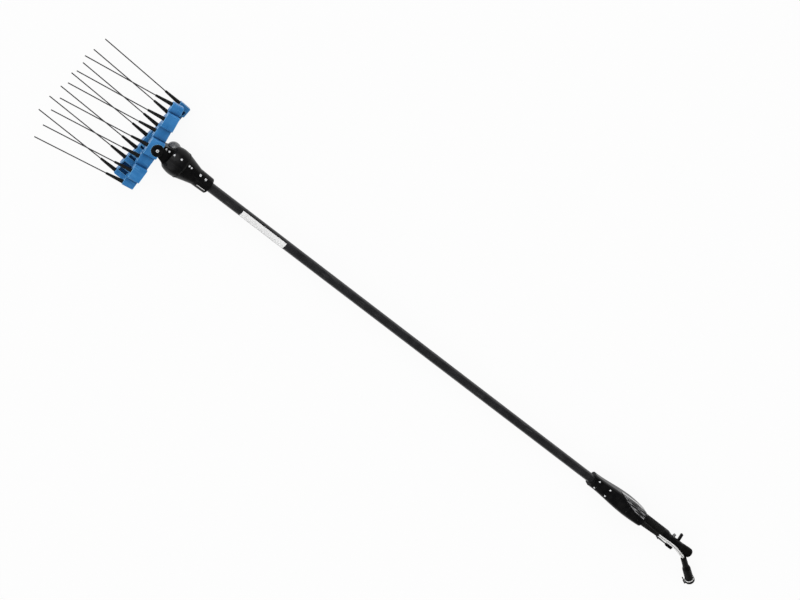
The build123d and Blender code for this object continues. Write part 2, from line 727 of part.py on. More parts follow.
def make_rod(index):
    rod = bar_x(ROD_DIAMETER, -TINE_LENGTH, ROD_IN_BAR)
    return tine_frame(index) * fillet(rod.edges().group_by(Axis.X)[0], ROD_DIAMETER / 4)


def make_hub(bolt):
    """Round hub that clamps the bar to its shaft."""
    hub = bar_z(HUB_DIAMETER, HUB_FLOOR, HUB_TOP)
    hub = fillet(hub.edges().group_by(Axis.Z)[-1], HUB_ROUNDING)
    return hub - bar_z(COMB_SHAFT_DIAMETER + 2 * SEAT_FIT, HUB_FLOOR, SHAFT_TOP) - bolt


def make_hub_bolt():
    """Bolt that pulls the hub down on its shaft, with a hexagon socket in its head."""
    top = HUB_TOP + FREE_GAP
    bolt = bar_z(HUB_BOLT_DIAMETER, top - HUB_BOLT_HEIGHT, top)
    bolt = chamfer(bolt.edges().group_by(Axis.Z)[-1], FREE_GAP)
    socket = extrude(RegularPolygon(HUB_BOLT_DIAMETER / 4, 6), HUB_BOLT_HEIGHT)
    bolt -= Pos(0, 0, top - HUB_BOLT_HEIGHT / 2) * socket
    return bolt + bar_z(HUB_BOLT_SHANK, SHAFT_TOP - HUB_BOLT_GRIP, top - HUB_BOLT_HEIGHT)


# Handle housing
def handle_form(grow, front_shift=0.0, rear_shift=0.0):
    """Smooth housing body through its cross sections, grown or drawn in all round."""
    faces = []
    for number, section in enumerate(HANDLE_SECTIONS):
        shift = 0.0
        if number == 0:
            shift = front_shift
        if number == len(HANDLE_SECTIONS) - 1:
            shift = rear_shift
        height = section.crown - section.belly + 2 * grow
        outline = RectangleRounded(section.width + 2 * grow, height, section.corner + grow)
        middle = (section.crown + section.belly) / 2
        plane = Plane(
            origin=(HANDLE_FRONT_X + section.reach + shift, 0, middle),
            x_dir=(0, 1, 0),
            z_dir=(1, 0, 0),
        )
        faces.append(plane * outline)
    return loft(faces)


def upper_half():
    return block((-BIG, BIG), (-BIG, BIG), (0, BIG))


def lower_half():
    return block((-BIG, BIG), (-BIG, BIG), (-BIG, 0))


def housing_bores():
    """Openings for the pole in front and for the grip core and the strain relief behind."""
    front = bar_x(POLE_DIAMETER + 2 * SEAT_FIT, HANDLE_FRONT_X - 1, HANDLE_FRONT_X + HANDLE_WALL * 2)
    rear_ends = (behind(-CORE_ROOT), behind(1))
    core = bar_x(CORE_DIAMETER + 2 * SEAT_FIT, *rear_ends)
    relief = bar_x(RELIEF_ROOT_DIAMETER + 2 * SEAT_FIT, *rear_ends, RELIEF_SIDE, RELIEF_LEVEL)
    return front + core + relief


def make_upper_shell(outside, inside, screws):
    shell = (outside - inside) & upper_half()
    shell += screw_bosses() & outside & upper_half()
    shell -= housing_bores()
    for screw in screws:
        shell -= screw
    return shell


def screw_bosses():
    """Posts under the housing screws, from the parting plane up to the crown."""
    bosses = None
    for x, y in handle_screw_places():
        post = bar_z(HANDLE_SCREW.head + HANDLE_WALL, 0, HANDLE_SECTIONS[-1].crown, x, y)
        post -= bar_x(POLE_DIAMETER + 2 * SEAT_FIT, HANDLE_FRONT_X, HANDLE_FRONT_X + POLE_IN_HANDLE)
        bosses = post if bosses is None else bosses + post
    return bosses


def handle_screw_places():
    places = []
    for reach, side in HANDLE_SCREW_ROWS:
        places.append((HANDLE_FRONT_X + reach, -side))
        places.append((HANDLE_FRONT_X + reach, side))
    return places


def make_handle_screws(outside):
    """Housing screws, each seated on the crown of the shell above its post."""
    screws = []
    for x, y in handle_screw_places():
        surface = surface_level(outside, x, y, HANDLE_SCREW.shank)
        screws.append(upright_screw(HANDLE_SCREW, x, y, surface))
    return screws


def make_lower_shell(outside, inside):
    """Deep lower shell with board ribs and the flat plinth that the handle rests on."""
    shell = (outside - inside) & lower_half()
    for reach in (BOARD_REACH + BOARD_RIB, BOARD_REACH + BOARD_LENGTH - 2 * BOARD_RIB):
        start = HANDLE_FRONT_X + reach
        rib = block((start, start + BOARD_RIB), (-BIG, BIG), (-BIG, BOARD_LEVEL))
        shell += rib & outside
    foot = RectangleRounded(PLINTH_LENGTH, PLINTH_WIDTH, PLINTH_CORNER)
    foot_top = HANDLE_SECTIONS[2].belly + PLINTH_OVERLAP
    shell += Pos(0, 0, -AXIS_HEIGHT) * extrude(foot, foot_top + AXIS_HEIGHT)
    return shell - housing_bores()


def cover_zone():
    """Upright block over the crescent of the flank that the side cover takes."""
    edge = [(HANDLE_FRONT_X + reach, side) for reach, side in COVER_EDGE]
    end_x = HANDLE_FRONT_X + COVER_END
    outside = HANDLE_SECTIONS[3].width
    corners = [edge[2], (end_x, edge[2][1]), (end_x, outside), (edge[0][0], outside), edge[0]]
    lines = [Line(start, end) for start, end in zip(corners, corners[1:])]
    plan = Face(Wire([ThreePointArc(*edge).edge()] + [line.edge() for line in lines]))
    return Pos(0, 0, COVER_LEVEL) * extrude(plan, BIG, dir=(0, 0, 1))


def make_side_cover(outside):
    """Glossy ribbed cover that hugs the housing's rear flank on the +Y side."""
    zone = cover_zone()
    skin = handle_form(COVER_THICKNESS) & zone
    ribs = handle_form(COVER_THICKNESS + COVER_RIB_HEIGHT) & zone
    corner = HANDLE_SECTIONS[3]
    hinge = Pos(0, corner.width / 2 - corner.corner, corner.crown - corner.corner)
    half = COVER_RIB_WIDTH / 2
    cover = skin
    for roll in COVER_RIB_ROLLS:
        slab = hinge * Rot(roll, 0, 0) * block((-BIG, BIG), (0, BIG), (-half, half))
        cover += ribs & slab
    return cover - outside


def make_board():
    start = HANDLE_FRONT_X + BOARD_REACH
    half = BOARD_WIDTH / 2
    top = BOARD_LEVEL + BOARD_THICKNESS
    board = block((start, start + BOARD_LENGTH), (-half, half), (BOARD_LEVEL, top))
    part_height = BOARD_THICKNESS * 4
    for share in (0.3, 0.5, 0.7):
        x = start + BOARD_LENGTH * share
        board += bar_z(part_height * 2, top, top + part_height, x, -half / 2)
        board += block((x, x + part_height), (half / 4, half / 2), (top, top + part_height / 2))
    return board


# Rear grip
def make_sleeve():
    ends = (behind(SLEEVE_GAP), behind(SLEEVE_END))
    sleeve = bar_x(GRIP_DIAMETER, *ends) - bar_x(CORE_DIAMETER + 2 * SEAT_FIT, *ends)
    pitch = (SLEEVE_END - SLEEVE_GAP) / (SLEEVE_GROOVES + 1)
    for number in range(1, SLEEVE_GROOVES + 1):
        start = behind(SLEEVE_GAP + number * pitch - SLEEVE_GROOVE_WIDTH / 2)
        groove = bar_x(GRIP_DIAMETER + 1, start, start + SLEEVE_GROOVE_WIDTH)
        groove -= bar_x(GRIP_DIAMETER - 2 * SLEEVE_GROOVE_DEPTH, start, start + SLEEVE_GROOVE_WIDTH)
        sleeve -= groove
    return sleeve


def trigger_pin_place():
    return behind(TRIGGER_PIVOT_REACH), -TRIGGER_PIVOT_SIDE


def lock_pin_place():
    return behind(LOCK_REACH), LOCK_SIDE


def make_core():
    """Rigid core of the grip with the trigger's ears and the wells of lock lever and button."""
    core = turned([
        (behind(-CORE_ROOT), CORE_DIAMETER / 2),
        (behind(SLEEVE_END), CORE_DIAMETER / 2),
        (behind(SLEEVE_END), GRIP_DIAMETER / 2),
        (behind(GRIP_TAPER_START), GRIP_DIAMETER / 2),
        (behind(GRIP_TAPER_END), GRIP_WAIST / 2),
        (behind(CORE_END), GRIP_WAIST / 2),
        (behind(CORE_END), 0),
        (behind(-CORE_ROOT), 0),
    ])
    core = core + trigger_ears() - trigger_pocket() - lock_well() - button_well()
    for place in (trigger_pin_place(), lock_pin_place()):
        core -= hinge_bore(*place)
    return core - bar_x(POMMEL_SPIGOT_DIAMETER, behind(CORE_END - POMMEL_SPIGOT), behind(CORE_END))


def trigger_ears():
    """Pair of ears that carry the trigger's hinge pin."""
    pin_x, pin_y = trigger_pin_place()
    inner = TRIGGER_HEIGHT / 2 + EAR_CLEARANCE
    ear = bar_z(EAR_LENGTH, inner, inner + EAR_THICKNESS, pin_x, pin_y)
    root = (pin_x - EAR_LENGTH / 2, pin_x + EAR_LENGTH / 2)
    ear += block(root, (pin_y, pin_y / 2), (inner, inner + EAR_THICKNESS))
    return ear + mirrored_down(ear)


def trigger_pocket():
    """Room for the trigger's eye between the ears."""
    pin_x, pin_y = trigger_pin_place()
    half = TRIGGER_HEIGHT / 2 + EAR_CLEARANCE
    reach = TRIGGER_EYE_DIAMETER / 2 + EAR_CLEARANCE
    return block((pin_x - reach, pin_x + 2 * reach), (-BIG, pin_y + reach), (-half, half))


def lock_well():
    """Slot that the lock lever swings in."""
    pin_x, pin_y = lock_pin_place()
    half = LOCK_HEIGHT / 2 + LOCK_CLEARANCE
    floor = pin_y - LOCK_EYE_DIAMETER / 2 - LOCK_CLEARANCE
    return block((pin_x - LOCK_SLOT_FRONT, pin_x + LOCK_SLOT_REAR), (floor, BIG), (-half, half))


def button_well():
    """Round well that the hold button slides in."""
    floor = BUTTON_TIP_SIDE - BUTTON_LENGTH - BUTTON_TRAVEL
    well = bar_x(BUTTON_DIAMETER + 2 * BUTTON_FIT, 0, BIG)
    return Pos(behind(BUTTON_REACH), floor, 0) * Rot(0, 0, 90) * well


def hinge_bore(x, y):
    length = pin_length() + 2 * FREE_GAP
    return bar_z(PIN_DIAMETER, -length / 2, length / 2, x, y)


def pin_length():
    return TRIGGER_HEIGHT + 2 * EAR_CLEARANCE + 2 * EAR_THICKNESS


def make_hinge_pins():
    half = pin_length() / 2
    places = (trigger_pin_place(), lock_pin_place())
    return [bar_z(PIN_DIAMETER - 2 * SEAT_FIT, -half, half, *place) for place in places]


def make_pommel():
    """Flared end piece of the grip, plugged into the core."""
    pommel = turned([
        (behind(CORE_END), GRIP_WAIST / 2),
        (behind(POMMEL_FLARE_END), POMMEL_DIAMETER / 2),
        (behind(POMMEL_END), POMMEL_DIAMETER / 2),
        (behind(POMMEL_END), 0),
        (behind(CORE_END), 0),
    ])
    pommel = fillet(pommel.edges().group_by(Axis.X)[-1], POMMEL_ROUNDING)
    plug_ends = (behind(CORE_END - POMMEL_SPIGOT), behind(CORE_END))
    return pommel + bar_x(POMMEL_SPIGOT_DIAMETER - 2 * SEAT_FIT, *plug_ends)


def make_trigger():
    """Thin lever with a finger pad at its free end."""
    pin_x, pin_y = trigger_pin_place()
    levels = (-TRIGGER_HEIGHT / 2, TRIGGER_HEIGHT / 2)
    end = behind(TRIGGER_END)
    lever = block((pin_x, end), (-TRIGGER_INNER_SIDE - TRIGGER_THICKNESS, -TRIGGER_INNER_SIDE), levels)
    pad_sides = (-TRIGGER_PAD_INNER - TRIGGER_PAD_DEPTH, -TRIGGER_PAD_INNER)
    pad = block((end - TRIGGER_PAD_LENGTH, end), pad_sides, levels)
    pad = fillet(pad.edges().filter_by(Axis.Z), TRIGGER_ROUNDING * 2)
    pad = fillet(pad.edges().group_by(Axis.Z)[-1], TRIGGER_ROUNDING)
    trigger = lever + pad + bar_z(TRIGGER_EYE_DIAMETER, *levels, pin_x, pin_y)
    return trigger - bar_z(PIN_DIAMETER + 2 * RUNNING_FIT, *levels, pin_x, pin_y)


def make_trigger_spring():
    """Bent leaf between the core and the trigger's pad."""
    start = behind(SPRING_REACH)
    foot_y = -GRIP_WAIST / 2
    tip_y = -TRIGGER_PAD_INNER + SHAFT_GAP + SPRING_THICKNESS
    path = [(start, foot_y), (start + SPRING_FOOT, foot_y), (start + SPRING_LENGTH, tip_y)]
    outer = [(x, y - SPRING_THICKNESS) for x, y in reversed(path)]
    return Pos(0, 0, -SPRING_WIDTH / 2) * extrude(Polygon(*path, *outer, align=None), SPRING_WIDTH)


def make_lock_lever():
    x, y = lock_pin_place()
    half = LOCK_HEIGHT / 2
    length = (LOCK_TIP_SIDE - LOCK_SIDE) / cos(radians(LOCK_LEAN))
    blade = block((-LOCK_THICKNESS / 2, LOCK_THICKNESS / 2), (0, length), (-half, half))
    blade = fillet(blade.edges().filter_by(Axis.Z).group_by(Axis.Y)[-1], LOCK_THICKNESS / 3)
    lever = blade + bar_z(LOCK_EYE_DIAMETER, -half, half)
    lever -= bar_z(PIN_DIAMETER + 2 * RUNNING_FIT, -half, half)
    return Pos(x, y, 0) * Rot(0, 0, LOCK_LEAN) * lever


def make_button():
    button = bar_x(BUTTON_DIAMETER, 0, BUTTON_LENGTH)
    button = fillet(button.edges().group_by(Axis.X)[-1], BUTTON_DIAMETER / 4)
    return Pos(behind(BUTTON_REACH), BUTTON_TIP_SIDE - BUTTON_LENGTH, 0) * Rot(0, 0, 90) * button


# Power lead
def make_relief():
    start = behind(-RELIEF_ROOT)
    end = behind(RELIEF_LENGTH)
    root = RELIEF_ROOT_DIAMETER / 2
    tip = RELIEF_TIP_DIAMETER / 2
    outside = turned([(start, root), (behind(0), root), (end, tip), (end, 0), (start, 0)])
    pitch = RELIEF_LENGTH / (RELIEF_GROOVES + 2)
    for number in range(2, RELIEF_GROOVES + 2):
        x = behind(number * pitch)
        radius = root + (tip - root) * number / (RELIEF_GROOVES + 2)
        groove = bar_x(3 * root, x, x + RELIEF_GROOVE_WIDTH)
        outside -= groove - bar_x(2 * (radius - RELIEF_GROOVE_DEPTH), x, x + RELIEF_GROOVE_WIDTH)
    return Pos(0, RELIEF_SIDE, RELIEF_LEVEL) * outside


def route_points():
    return [Vector(behind(reach), side, level) for reach, side, level in CABLE_ROUTE]


def route_radii(points):
    """Largest tangent arc at each inner point that its two runs leave room for."""
    radii = []
    for before, point, after in zip(points, points[1:], points[2:]):
        turn = (point - before).get_angle(after - point)
        shorter = min((point - before).length, (after - point).length)
        radii.append(ARC_SHARE * shorter / tan(radians(turn / 2)))
    return radii


def make_cable():
    points = route_points()
    radii = route_radii(points)
    path = FilletPolyline(*points, radius=radii)
    profile = Plane(origin=points[0], z_dir=points[1] - points[0]) * Circle(CABLE_DIAMETER / 2)
    cable = sweep(profile, path=path)
    expected = path.length * Circle(CABLE_DIAMETER / 2).area
    print("cable length", round(path.length, 1), "volume share", round(cable.volume / expected, 4))
    print("cable radii", [round(radius) for radius in radii])
    return cable


def connector_frame():
    """Place of the connector's rear, with X along the connector and Y level."""
    reach, side, level = CONNECTOR_PLACE
    return Pos(behind(reach), side, level) * Rot(0, 0, -CONNECTOR_TURN) * Rot(0, CONNECTOR_DIP, 0)


def make_connector_boot():
    rear = BOOT_REAR_DIAMETER / 2
    front = BOOT_FRONT_DIAMETER / 2
    boot = turned([(0, rear), (BOOT_END, front), (BOOT_END, 0), (0, 0)])
    return fillet(boot.edges().group_by(Axis.X)[0], BOOT_ROUNDING)


def make_connector_body():
    """Tapered shell and front ring in one moulding, with a seal groove and two ears for the latch."""
    body = turned([
        (BOOT_END, WAIST_DIAMETER / 2),
        (SHOULDER_REACH, SHOULDER_DIAMETER / 2),
        (SHELL_END, SHELL_DIAMETER / 2),
        (SHELL_END, SEAL_GROOVE_DIAMETER / 2),
        (SEAL_END, SEAL_GROOVE_DIAMETER / 2),
        (SEAL_END, NUT_DIAMETER / 2),
        (NUT_END, NUT_DIAMETER / 2),
        (NUT_END, 0),
        (BOOT_END, 0),
    ])
    ear_inner = LATCH_WIDTH / 2 + EAR_CLEARANCE
    ear_ends = (LATCH_REACH - LATCH_EYE_DIAMETER / 2, LATCH_REACH + LATCH_EYE_DIAMETER / 2)
    for low in (ear_inner, -ear_inner - LATCH_THICKNESS):
        levels = (low, low + LATCH_THICKNESS)
        body += bar_z(LATCH_EYE_DIAMETER, *levels, LATCH_REACH, -LATCH_SIDE)
        body += block(ear_ends, (-LATCH_SIDE, -MOUTH_DIAMETER / 2), levels)
    length = latch_pin_length()
    body += bar_z(LATCH_PIN_DIAMETER, -length / 2, length / 2, LATCH_REACH, -LATCH_SIDE)
    return body - bar_x(MOUTH_DIAMETER, NUT_END - MOUTH_DEPTH, NUT_END)


def make_connector_seal():
    ends = (SHELL_END, SEAL_END)
    return bar_x(SEAL_DIAMETER, *ends) - bar_x(SEAL_GROOVE_DIAMETER + 2 * SEAT_FIT, *ends)


def latch_pin_length():
    return LATCH_WIDTH + 2 * EAR_CLEARANCE + 2 * LATCH_THICKNESS


def make_contacts():
    contacts = []
    start = NUT_END - MOUTH_DEPTH
    for number in range(CONTACT_COUNT):
        angle = radians(90 + 360 * number / CONTACT_COUNT)
        side = CONTACT_CIRCLE / 2 * cos(angle)
        level = CONTACT_CIRCLE / 2 * sin(angle)
        contacts.append(bar_x(CONTACT_DIAMETER, start, start + CONTACT_LENGTH, side, level))
    return contacts


def make_latch():
    """Thin side lever that hooks the mating socket, its tail standing off the body."""
    half = LATCH_WIDTH / 2
    side = -LATCH_SIDE
    tail_x = LATCH_REACH - LATCH_LENGTH
    tail_sides = (side - LATCH_THICKNESS / 2, side + LATCH_THICKNESS / 2)
    latch = block((tail_x, LATCH_REACH), tail_sides, (-half, half))
    latch += bar_z(LATCH_TIP_DIAMETER, -half, half, tail_x, tail_sides[0])
    latch += bar_z(LATCH_EYE_DIAMETER, -half, half, LATCH_REACH, side)
    return latch - bar_z(LATCH_PIN_DIAMETER + 2 * RUNNING_FIT, -half, half, LATCH_REACH, side)


def group(shapes):
    return Compound(list(shapes))


# Assembly
def comb_pieces():
    """Nodes of both combs: the lower comb is the upper one mirrored, each at its own swing."""
    pieces = {}
    bar = make_comb_bar()
    bolt = make_hub_bolt()
    hub = make_hub(bolt)
    for name, way, arm, throw in (
        ("upper", 1, ARM_UPPER, THROW_UPPER),
        ("lower", -1, ARM_LOWER, THROW_LOWER),
    ):
        swing = way * SWING_AT_REST
        comb_place = Pos(PIVOT_X, 0, 0) * Rot(0, 0, COMB_SKEW + swing)
        arm_place = Pos(PIVOT_X, 0, 0) * Rot(0, 0, swing)

        def set_on(shape, place=comb_place, below=way < 0):
            return place * (mirrored_down(shape) if below else shape)

        pieces[f"comb_bar_{name}"] = set_on(bar)
        pieces[f"comb_hub_{name}"] = set_on(hub)
        pieces[f"hub_bolt_{name}"] = set_on(bolt)
        pieces[f"swing_arm_{name}"] = set_on(make_arm(arm, throw), arm_place)
        boots = [set_on(make_boot(index)) for index in range(TINE_COUNT)]
        pieces[f"tine_boots_{name}"] = group(boots)
        for index in range(TINE_COUNT):
            pieces[f"tine_{name}_{index + 1}"] = set_on(make_rod(index))
    return pieces


def head_pieces():
    rear_screws = make_head_screws(REAR_SCREW_REACHES, HEAD_SCREW, HEAD_SCREW_ROLL)
    rear_screws += make_head_screws(COLLAR_SCREW_REACHES, COLLAR_SCREW, COLLAR_SCREW_ROLL)
    rear_screws += [flipped(screw) for screw in rear_screws]
    shell_screws = make_head_screws(SHELL_SCREW_REACHES, HEAD_SCREW, HEAD_SCREW_ROLL)
    for step in NECK_SCREW_STEPS:
        place = (ahead(SHELF_REACH + step), NECK_SCREW_SIDE, NOSE_HEIGHT / 2)
        shell_screws.append(upright_screw(HEAD_SCREW, *place))
    upper = make_front_shell()
    lower = flipped(upper)
    for screw in shell_screws:
        upper -= screw
        lower -= flipped(screw)
    lower_screws = [flipped(screw) for screw in shell_screws]
    return {
        "head_upper_shell": upper,
        "head_lower_shell": lower,
        "head_rear_housing": make_rear_housing(rear_screws),
        "head_seam_ring": make_seam_ring(),
        "head_side_cap": make_side_cap(),
        "head_screws": group(rear_screws + shell_screws + lower_screws),
        "motor_can": make_motor_can(),
        "motor_mount": make_motor_mount(),
        "motor_bearings": group(make_bearings()),
        "motor_rotor": make_rotor(),
        "crank": make_crank(),
        "crank_rollers": group(make_rollers()),
        "comb_bushes": group([make_bush(), mirrored_down(make_bush())]),
    }


def handle_pieces():
    outside = handle_form(0)
    inside = handle_form(-HANDLE_WALL, HANDLE_WALL * 2, -HANDLE_WALL * 2)
    screws = make_handle_screws(outside)
    return {
        "pole": make_pole(),
        "pole_band": make_band(),
        "pole_wire": make_inner_wire(),
        "handle_upper_shell": make_upper_shell(outside, inside, screws),
        "handle_lower_shell": make_lower_shell(outside, inside),
        "handle_side_cover": make_side_cover(outside),
        "handle_screws": group(screws),
        "control_board": make_board(),
        "grip_sleeve": make_sleeve(),
        "grip_core": make_core(),
        "grip_pommel": make_pommel(),
        "hinge_pins": group(make_hinge_pins()),
        "trigger": make_trigger(),
        "trigger_spring": make_trigger_spring(),
        "lock_lever": make_lock_lever(),
        "hold_button": make_button(),
    }


def lead_pieces():
    seat = connector_frame()
    cable = make_cable()
    return {
        "strain_relief": make_relief(),
        "power_cable": cable,
        "connector_boot": seat * make_connector_boot() - cable,
        "connector_body": seat * make_connector_body(),
        "connector_seal": seat * make_connector_seal(),
        "connector_contacts": seat * group(make_contacts()),
        "connector_latch": seat * make_latch(),
    }


def main():
    os.makedirs("parts", exist_ok=True)
    lift = Pos(0, 0, AXIS_HEIGHT)
    for pieces in (comb_pieces(), head_pieces(), handle_pieces(), lead_pieces()):
        for name, shape in pieces.items():
            export_step(lift * shape, f"parts/{name}.step")


main()
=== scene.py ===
# %% [markdown]
# Electric olive harvester: the looks.
#
# The solids come from the CAD part and are loaded here as a fixed frame, in metres, with X along the
# pole, Z up and the combs at -X. This lesson keeps every solid where it is. It lays the white lead as a
# smooth cord, sets the screws with Geometry Nodes, and gives each slot a finish made of nodes.

import json
from math import atan, radians

import bmesh
import bpy
from mathutils import Matrix, Vector


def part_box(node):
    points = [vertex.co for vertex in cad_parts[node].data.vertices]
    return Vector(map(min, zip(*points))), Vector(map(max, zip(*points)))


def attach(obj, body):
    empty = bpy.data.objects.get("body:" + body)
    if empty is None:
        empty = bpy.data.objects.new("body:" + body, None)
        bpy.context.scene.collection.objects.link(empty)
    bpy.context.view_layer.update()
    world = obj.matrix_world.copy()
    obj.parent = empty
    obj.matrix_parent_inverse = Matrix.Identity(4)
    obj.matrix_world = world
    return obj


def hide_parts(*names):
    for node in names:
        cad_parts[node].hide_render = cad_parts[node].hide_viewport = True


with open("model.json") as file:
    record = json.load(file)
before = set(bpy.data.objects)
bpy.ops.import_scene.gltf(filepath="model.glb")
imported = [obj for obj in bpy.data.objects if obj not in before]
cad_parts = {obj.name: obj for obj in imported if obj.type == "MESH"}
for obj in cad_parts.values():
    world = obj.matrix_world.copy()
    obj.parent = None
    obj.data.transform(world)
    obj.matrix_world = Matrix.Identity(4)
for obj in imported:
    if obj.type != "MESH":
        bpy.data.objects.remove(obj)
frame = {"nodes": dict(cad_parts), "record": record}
scene = bpy.context.scene
nodes = frame["nodes"]
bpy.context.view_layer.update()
print("loaded", len(nodes), "solids")

# %% [markdown]
# The camera. The tool is more than two and a half metres long and the photograph looks down on it from
# the comb end, far away, with a long lens. The place and the three axes below were worked out from
# points of the pole, the combs and the handle, so the picture can be laid over the photograph.

# %% Camera
CAMERA_PLACE = (-3.99565, 1.45184, 6.11077)
CAMERA_RIGHT = (0.714435, 0.671529, 0.196548)
CAMERA_UP = (-0.552068, 0.713579, -0.431307)
CAMERA_BACK = (-0.429888, 0.199633, 0.880536)
CAMERA_LENS = 108.0
CAMERA_REACH = 60.0


def add_object(name, data):
    thing = bpy.data.objects.new(name, data)
    scene.collection.objects.link(thing)
    return thing


def make_camera():
    data = bpy.data.cameras.new("photo_camera")
    data.lens = CAMERA_LENS
    data.clip_end = CAMERA_REACH
    camera = add_object("photo_camera", data)
    axes = Matrix((CAMERA_RIGHT, CAMERA_UP, CAMERA_BACK)).transposed().to_4x4()
    camera.matrix_world = Matrix.Translation(CAMERA_PLACE) @ axes
    scene.camera = camera
    return camera


print("camera", make_camera().name, "lens", CAMERA_LENS)

# %% [markdown]
# The line of the white lead. A cable is one length of something flexible, so its line is one NURBS
# spline: the points of its route are control points, and the curve runs smoothly past them as a real
# sheath does. It leaves the strain relief straight, lies over the grip and drops into the connector. The
# points that Blender reads from the spline become a mesh of edges, which Geometry Nodes can then sweep.

# %% Line of the lead
AXIS_HEIGHT = 0.041
GRIP_START = 0.074
LEAD_STEPS = 16
LEAD_ORDER = 3
LEAD_ROUTE = [
    (0.077, -0.0070, 0.0265),
    (0.104, -0.0070, 0.0265),
    (0.132, -0.0056, 0.0263),
    (0.157, -0.0064, 0.0256),
    (0.185, -0.0122, 0.0228),
    (0.2114, -0.0187, 0.0170),
]


def lead_points():
    return [(GRIP_START + reach, side, AXIS_HEIGHT + level) for reach, side, level in LEAD_ROUTE]


def take_mesh(thing):
    """Plain mesh of an object with its curve or modifiers worked out; the object itself goes."""
    evaluated = thing.evaluated_get(bpy.context.evaluated_depsgraph_get())
    mesh = bpy.data.meshes.new_from_object(evaluated)
    bpy.data.objects.remove(thing)
    return mesh


def make_lead_line():
    """Mesh of points along the spline, joined by edges."""
    curve = bpy.data.curves.new("lead_line", "CURVE")
    curve.dimensions = "3D"
    curve.resolution_u = LEAD_STEPS
    points = lead_points()
    spline = curve.splines.new("NURBS")
    spline.points.add(len(points) - 1)
    for point, place in zip(spline.points, points):
        point.co = (*place, 1.0)
    spline.order_u = LEAD_ORDER
    spline.use_endpoint_u = True
    return take_mesh(add_object("lead_line", curve))


lead_line = make_lead_line()

# %% [markdown]
# Helpers for nodes. The lead, the screws and all finishes are small trees of nodes. Wiring them by hand
# takes many lines, so three helpers keep the code short: one feeds a socket with a wire or a plain value,
# one adds a node and sets its values by name, and one adds a Math node with its terms.

# %% Helpers for nodes


def feed(tree, value, socket):
    """Gives a socket its value, which is another socket or a plain one."""
    if isinstance(value, bpy.types.NodeSocket):
        tree.links.new(value, socket)
    else:
        socket.default_value = value


def add_node(tree, kind, **values):
    """Adds a node; values are node properties, or socket values when a socket has that name."""
    node = tree.nodes.new(kind)
    for name, value in values.items():
        socket = node.inputs.get(name.replace("_", " "))
        if socket is None:
            setattr(node, name, value)
        else:
            socket.default_value = value
    return node


def compute(tree, operation, *terms, clamp=False):
    """One Math node; each term is a number or a socket."""
    node = add_node(tree, "ShaderNodeMath", operation=operation, use_clamp=clamp)
    for socket, term in zip(node.inputs, terms):
        feed(tree, term, socket)
    return node.outputs["Value"]


print("helpers for nodes:", feed.__name__, add_node.__name__, compute.__name__)

# %% [markdown]
# Helpers for shapes. A Geometry Nodes tree is a recipe with inputs. One helper starts a tree with named
# sizes and materials, and one runs it on a seed mesh. The result is kept as a plain mesh, because the
# pieces have to stand at the origin, without modifiers, when the frame is closed.

# %% Helpers for shapes


def new_shape_tree(name, sizes, finish_names=()):
    """Starts a Geometry Nodes tree with a geometry input, named sizes and named material inputs."""
    tree = bpy.data.node_groups.new(name, "GeometryNodeTree")
    tree.interface.new_socket("Geometry", in_out="INPUT", socket_type="NodeSocketGeometry")
    for label, value in sizes.items():
        socket = tree.interface.new_socket(label, in_out="INPUT", socket_type="NodeSocketFloat")
        socket.default_value = value
    for label in finish_names:
        tree.interface.new_socket(label, in_out="INPUT", socket_type="NodeSocketMaterial")
    tree.interface.new_socket("Geometry", in_out="OUTPUT", socket_type="NodeSocketGeometry")
    return tree, tree.nodes.new("NodeGroupInput"), tree.nodes.new("NodeGroupOutput")


def grow(name, seed_mesh, tree, inputs):
    """Runs a Geometry Nodes tree on a seed mesh and keeps the result as a plain mesh object."""
    seed = add_object(name + "_seed", seed_mesh)
    modifier = seed.modifiers.new("shape", "NODES")
    modifier.node_group = tree
    for item in tree.interface.items_tree:
        if item.in_out == "INPUT" and item.name in inputs:
            modifier[item.identifier] = inputs[item.name]
    mesh = take_mesh(seed)
    if len(mesh.materials) and mesh.materials[0] is None:
        mesh.materials.pop(index=0)
    return add_object(name, mesh)


print("helpers for shapes:", new_shape_tree.__name__, grow.__name__)

# %% [markdown]
# The sheath of the lead. It holds two cores side by side, so its section is a circle drawn in at the
# middle. A point of the circle is moved out where it lies to the side and in where it lies above or below.
# The sweep along the line keeps the two cores level with each other through Z-up normals. The tree also
# stores how deep in the groove a point lies, for the painted shade in the groove.

# %% Sheath of the lead
LEAD_WIDTH = 0.009
LEAD_SHAPE = {"Width": LEAD_WIDTH, "Waist": 0.58}
LEAD_SIDES = 48
GROOVE_MARK = "groove"
GROOVE_SHARPNESS = 5.0


def square_share(tree, value, whole):
    return compute(tree, "POWER", compute(tree, "DIVIDE", value, whole), 2.0)


def store_groove(tree, curve, depth):
    """Stores the depth of the groove on the points of the section."""
    node = add_node(tree, "GeometryNodeStoreNamedAttribute", data_type="FLOAT", domain="POINT")
    feed(tree, curve, node.inputs["Geometry"])
    feed(tree, GROOVE_MARK, node.inputs["Name"])
    feed(tree, depth, node.inputs["Value"])
    return node.outputs["Geometry"]


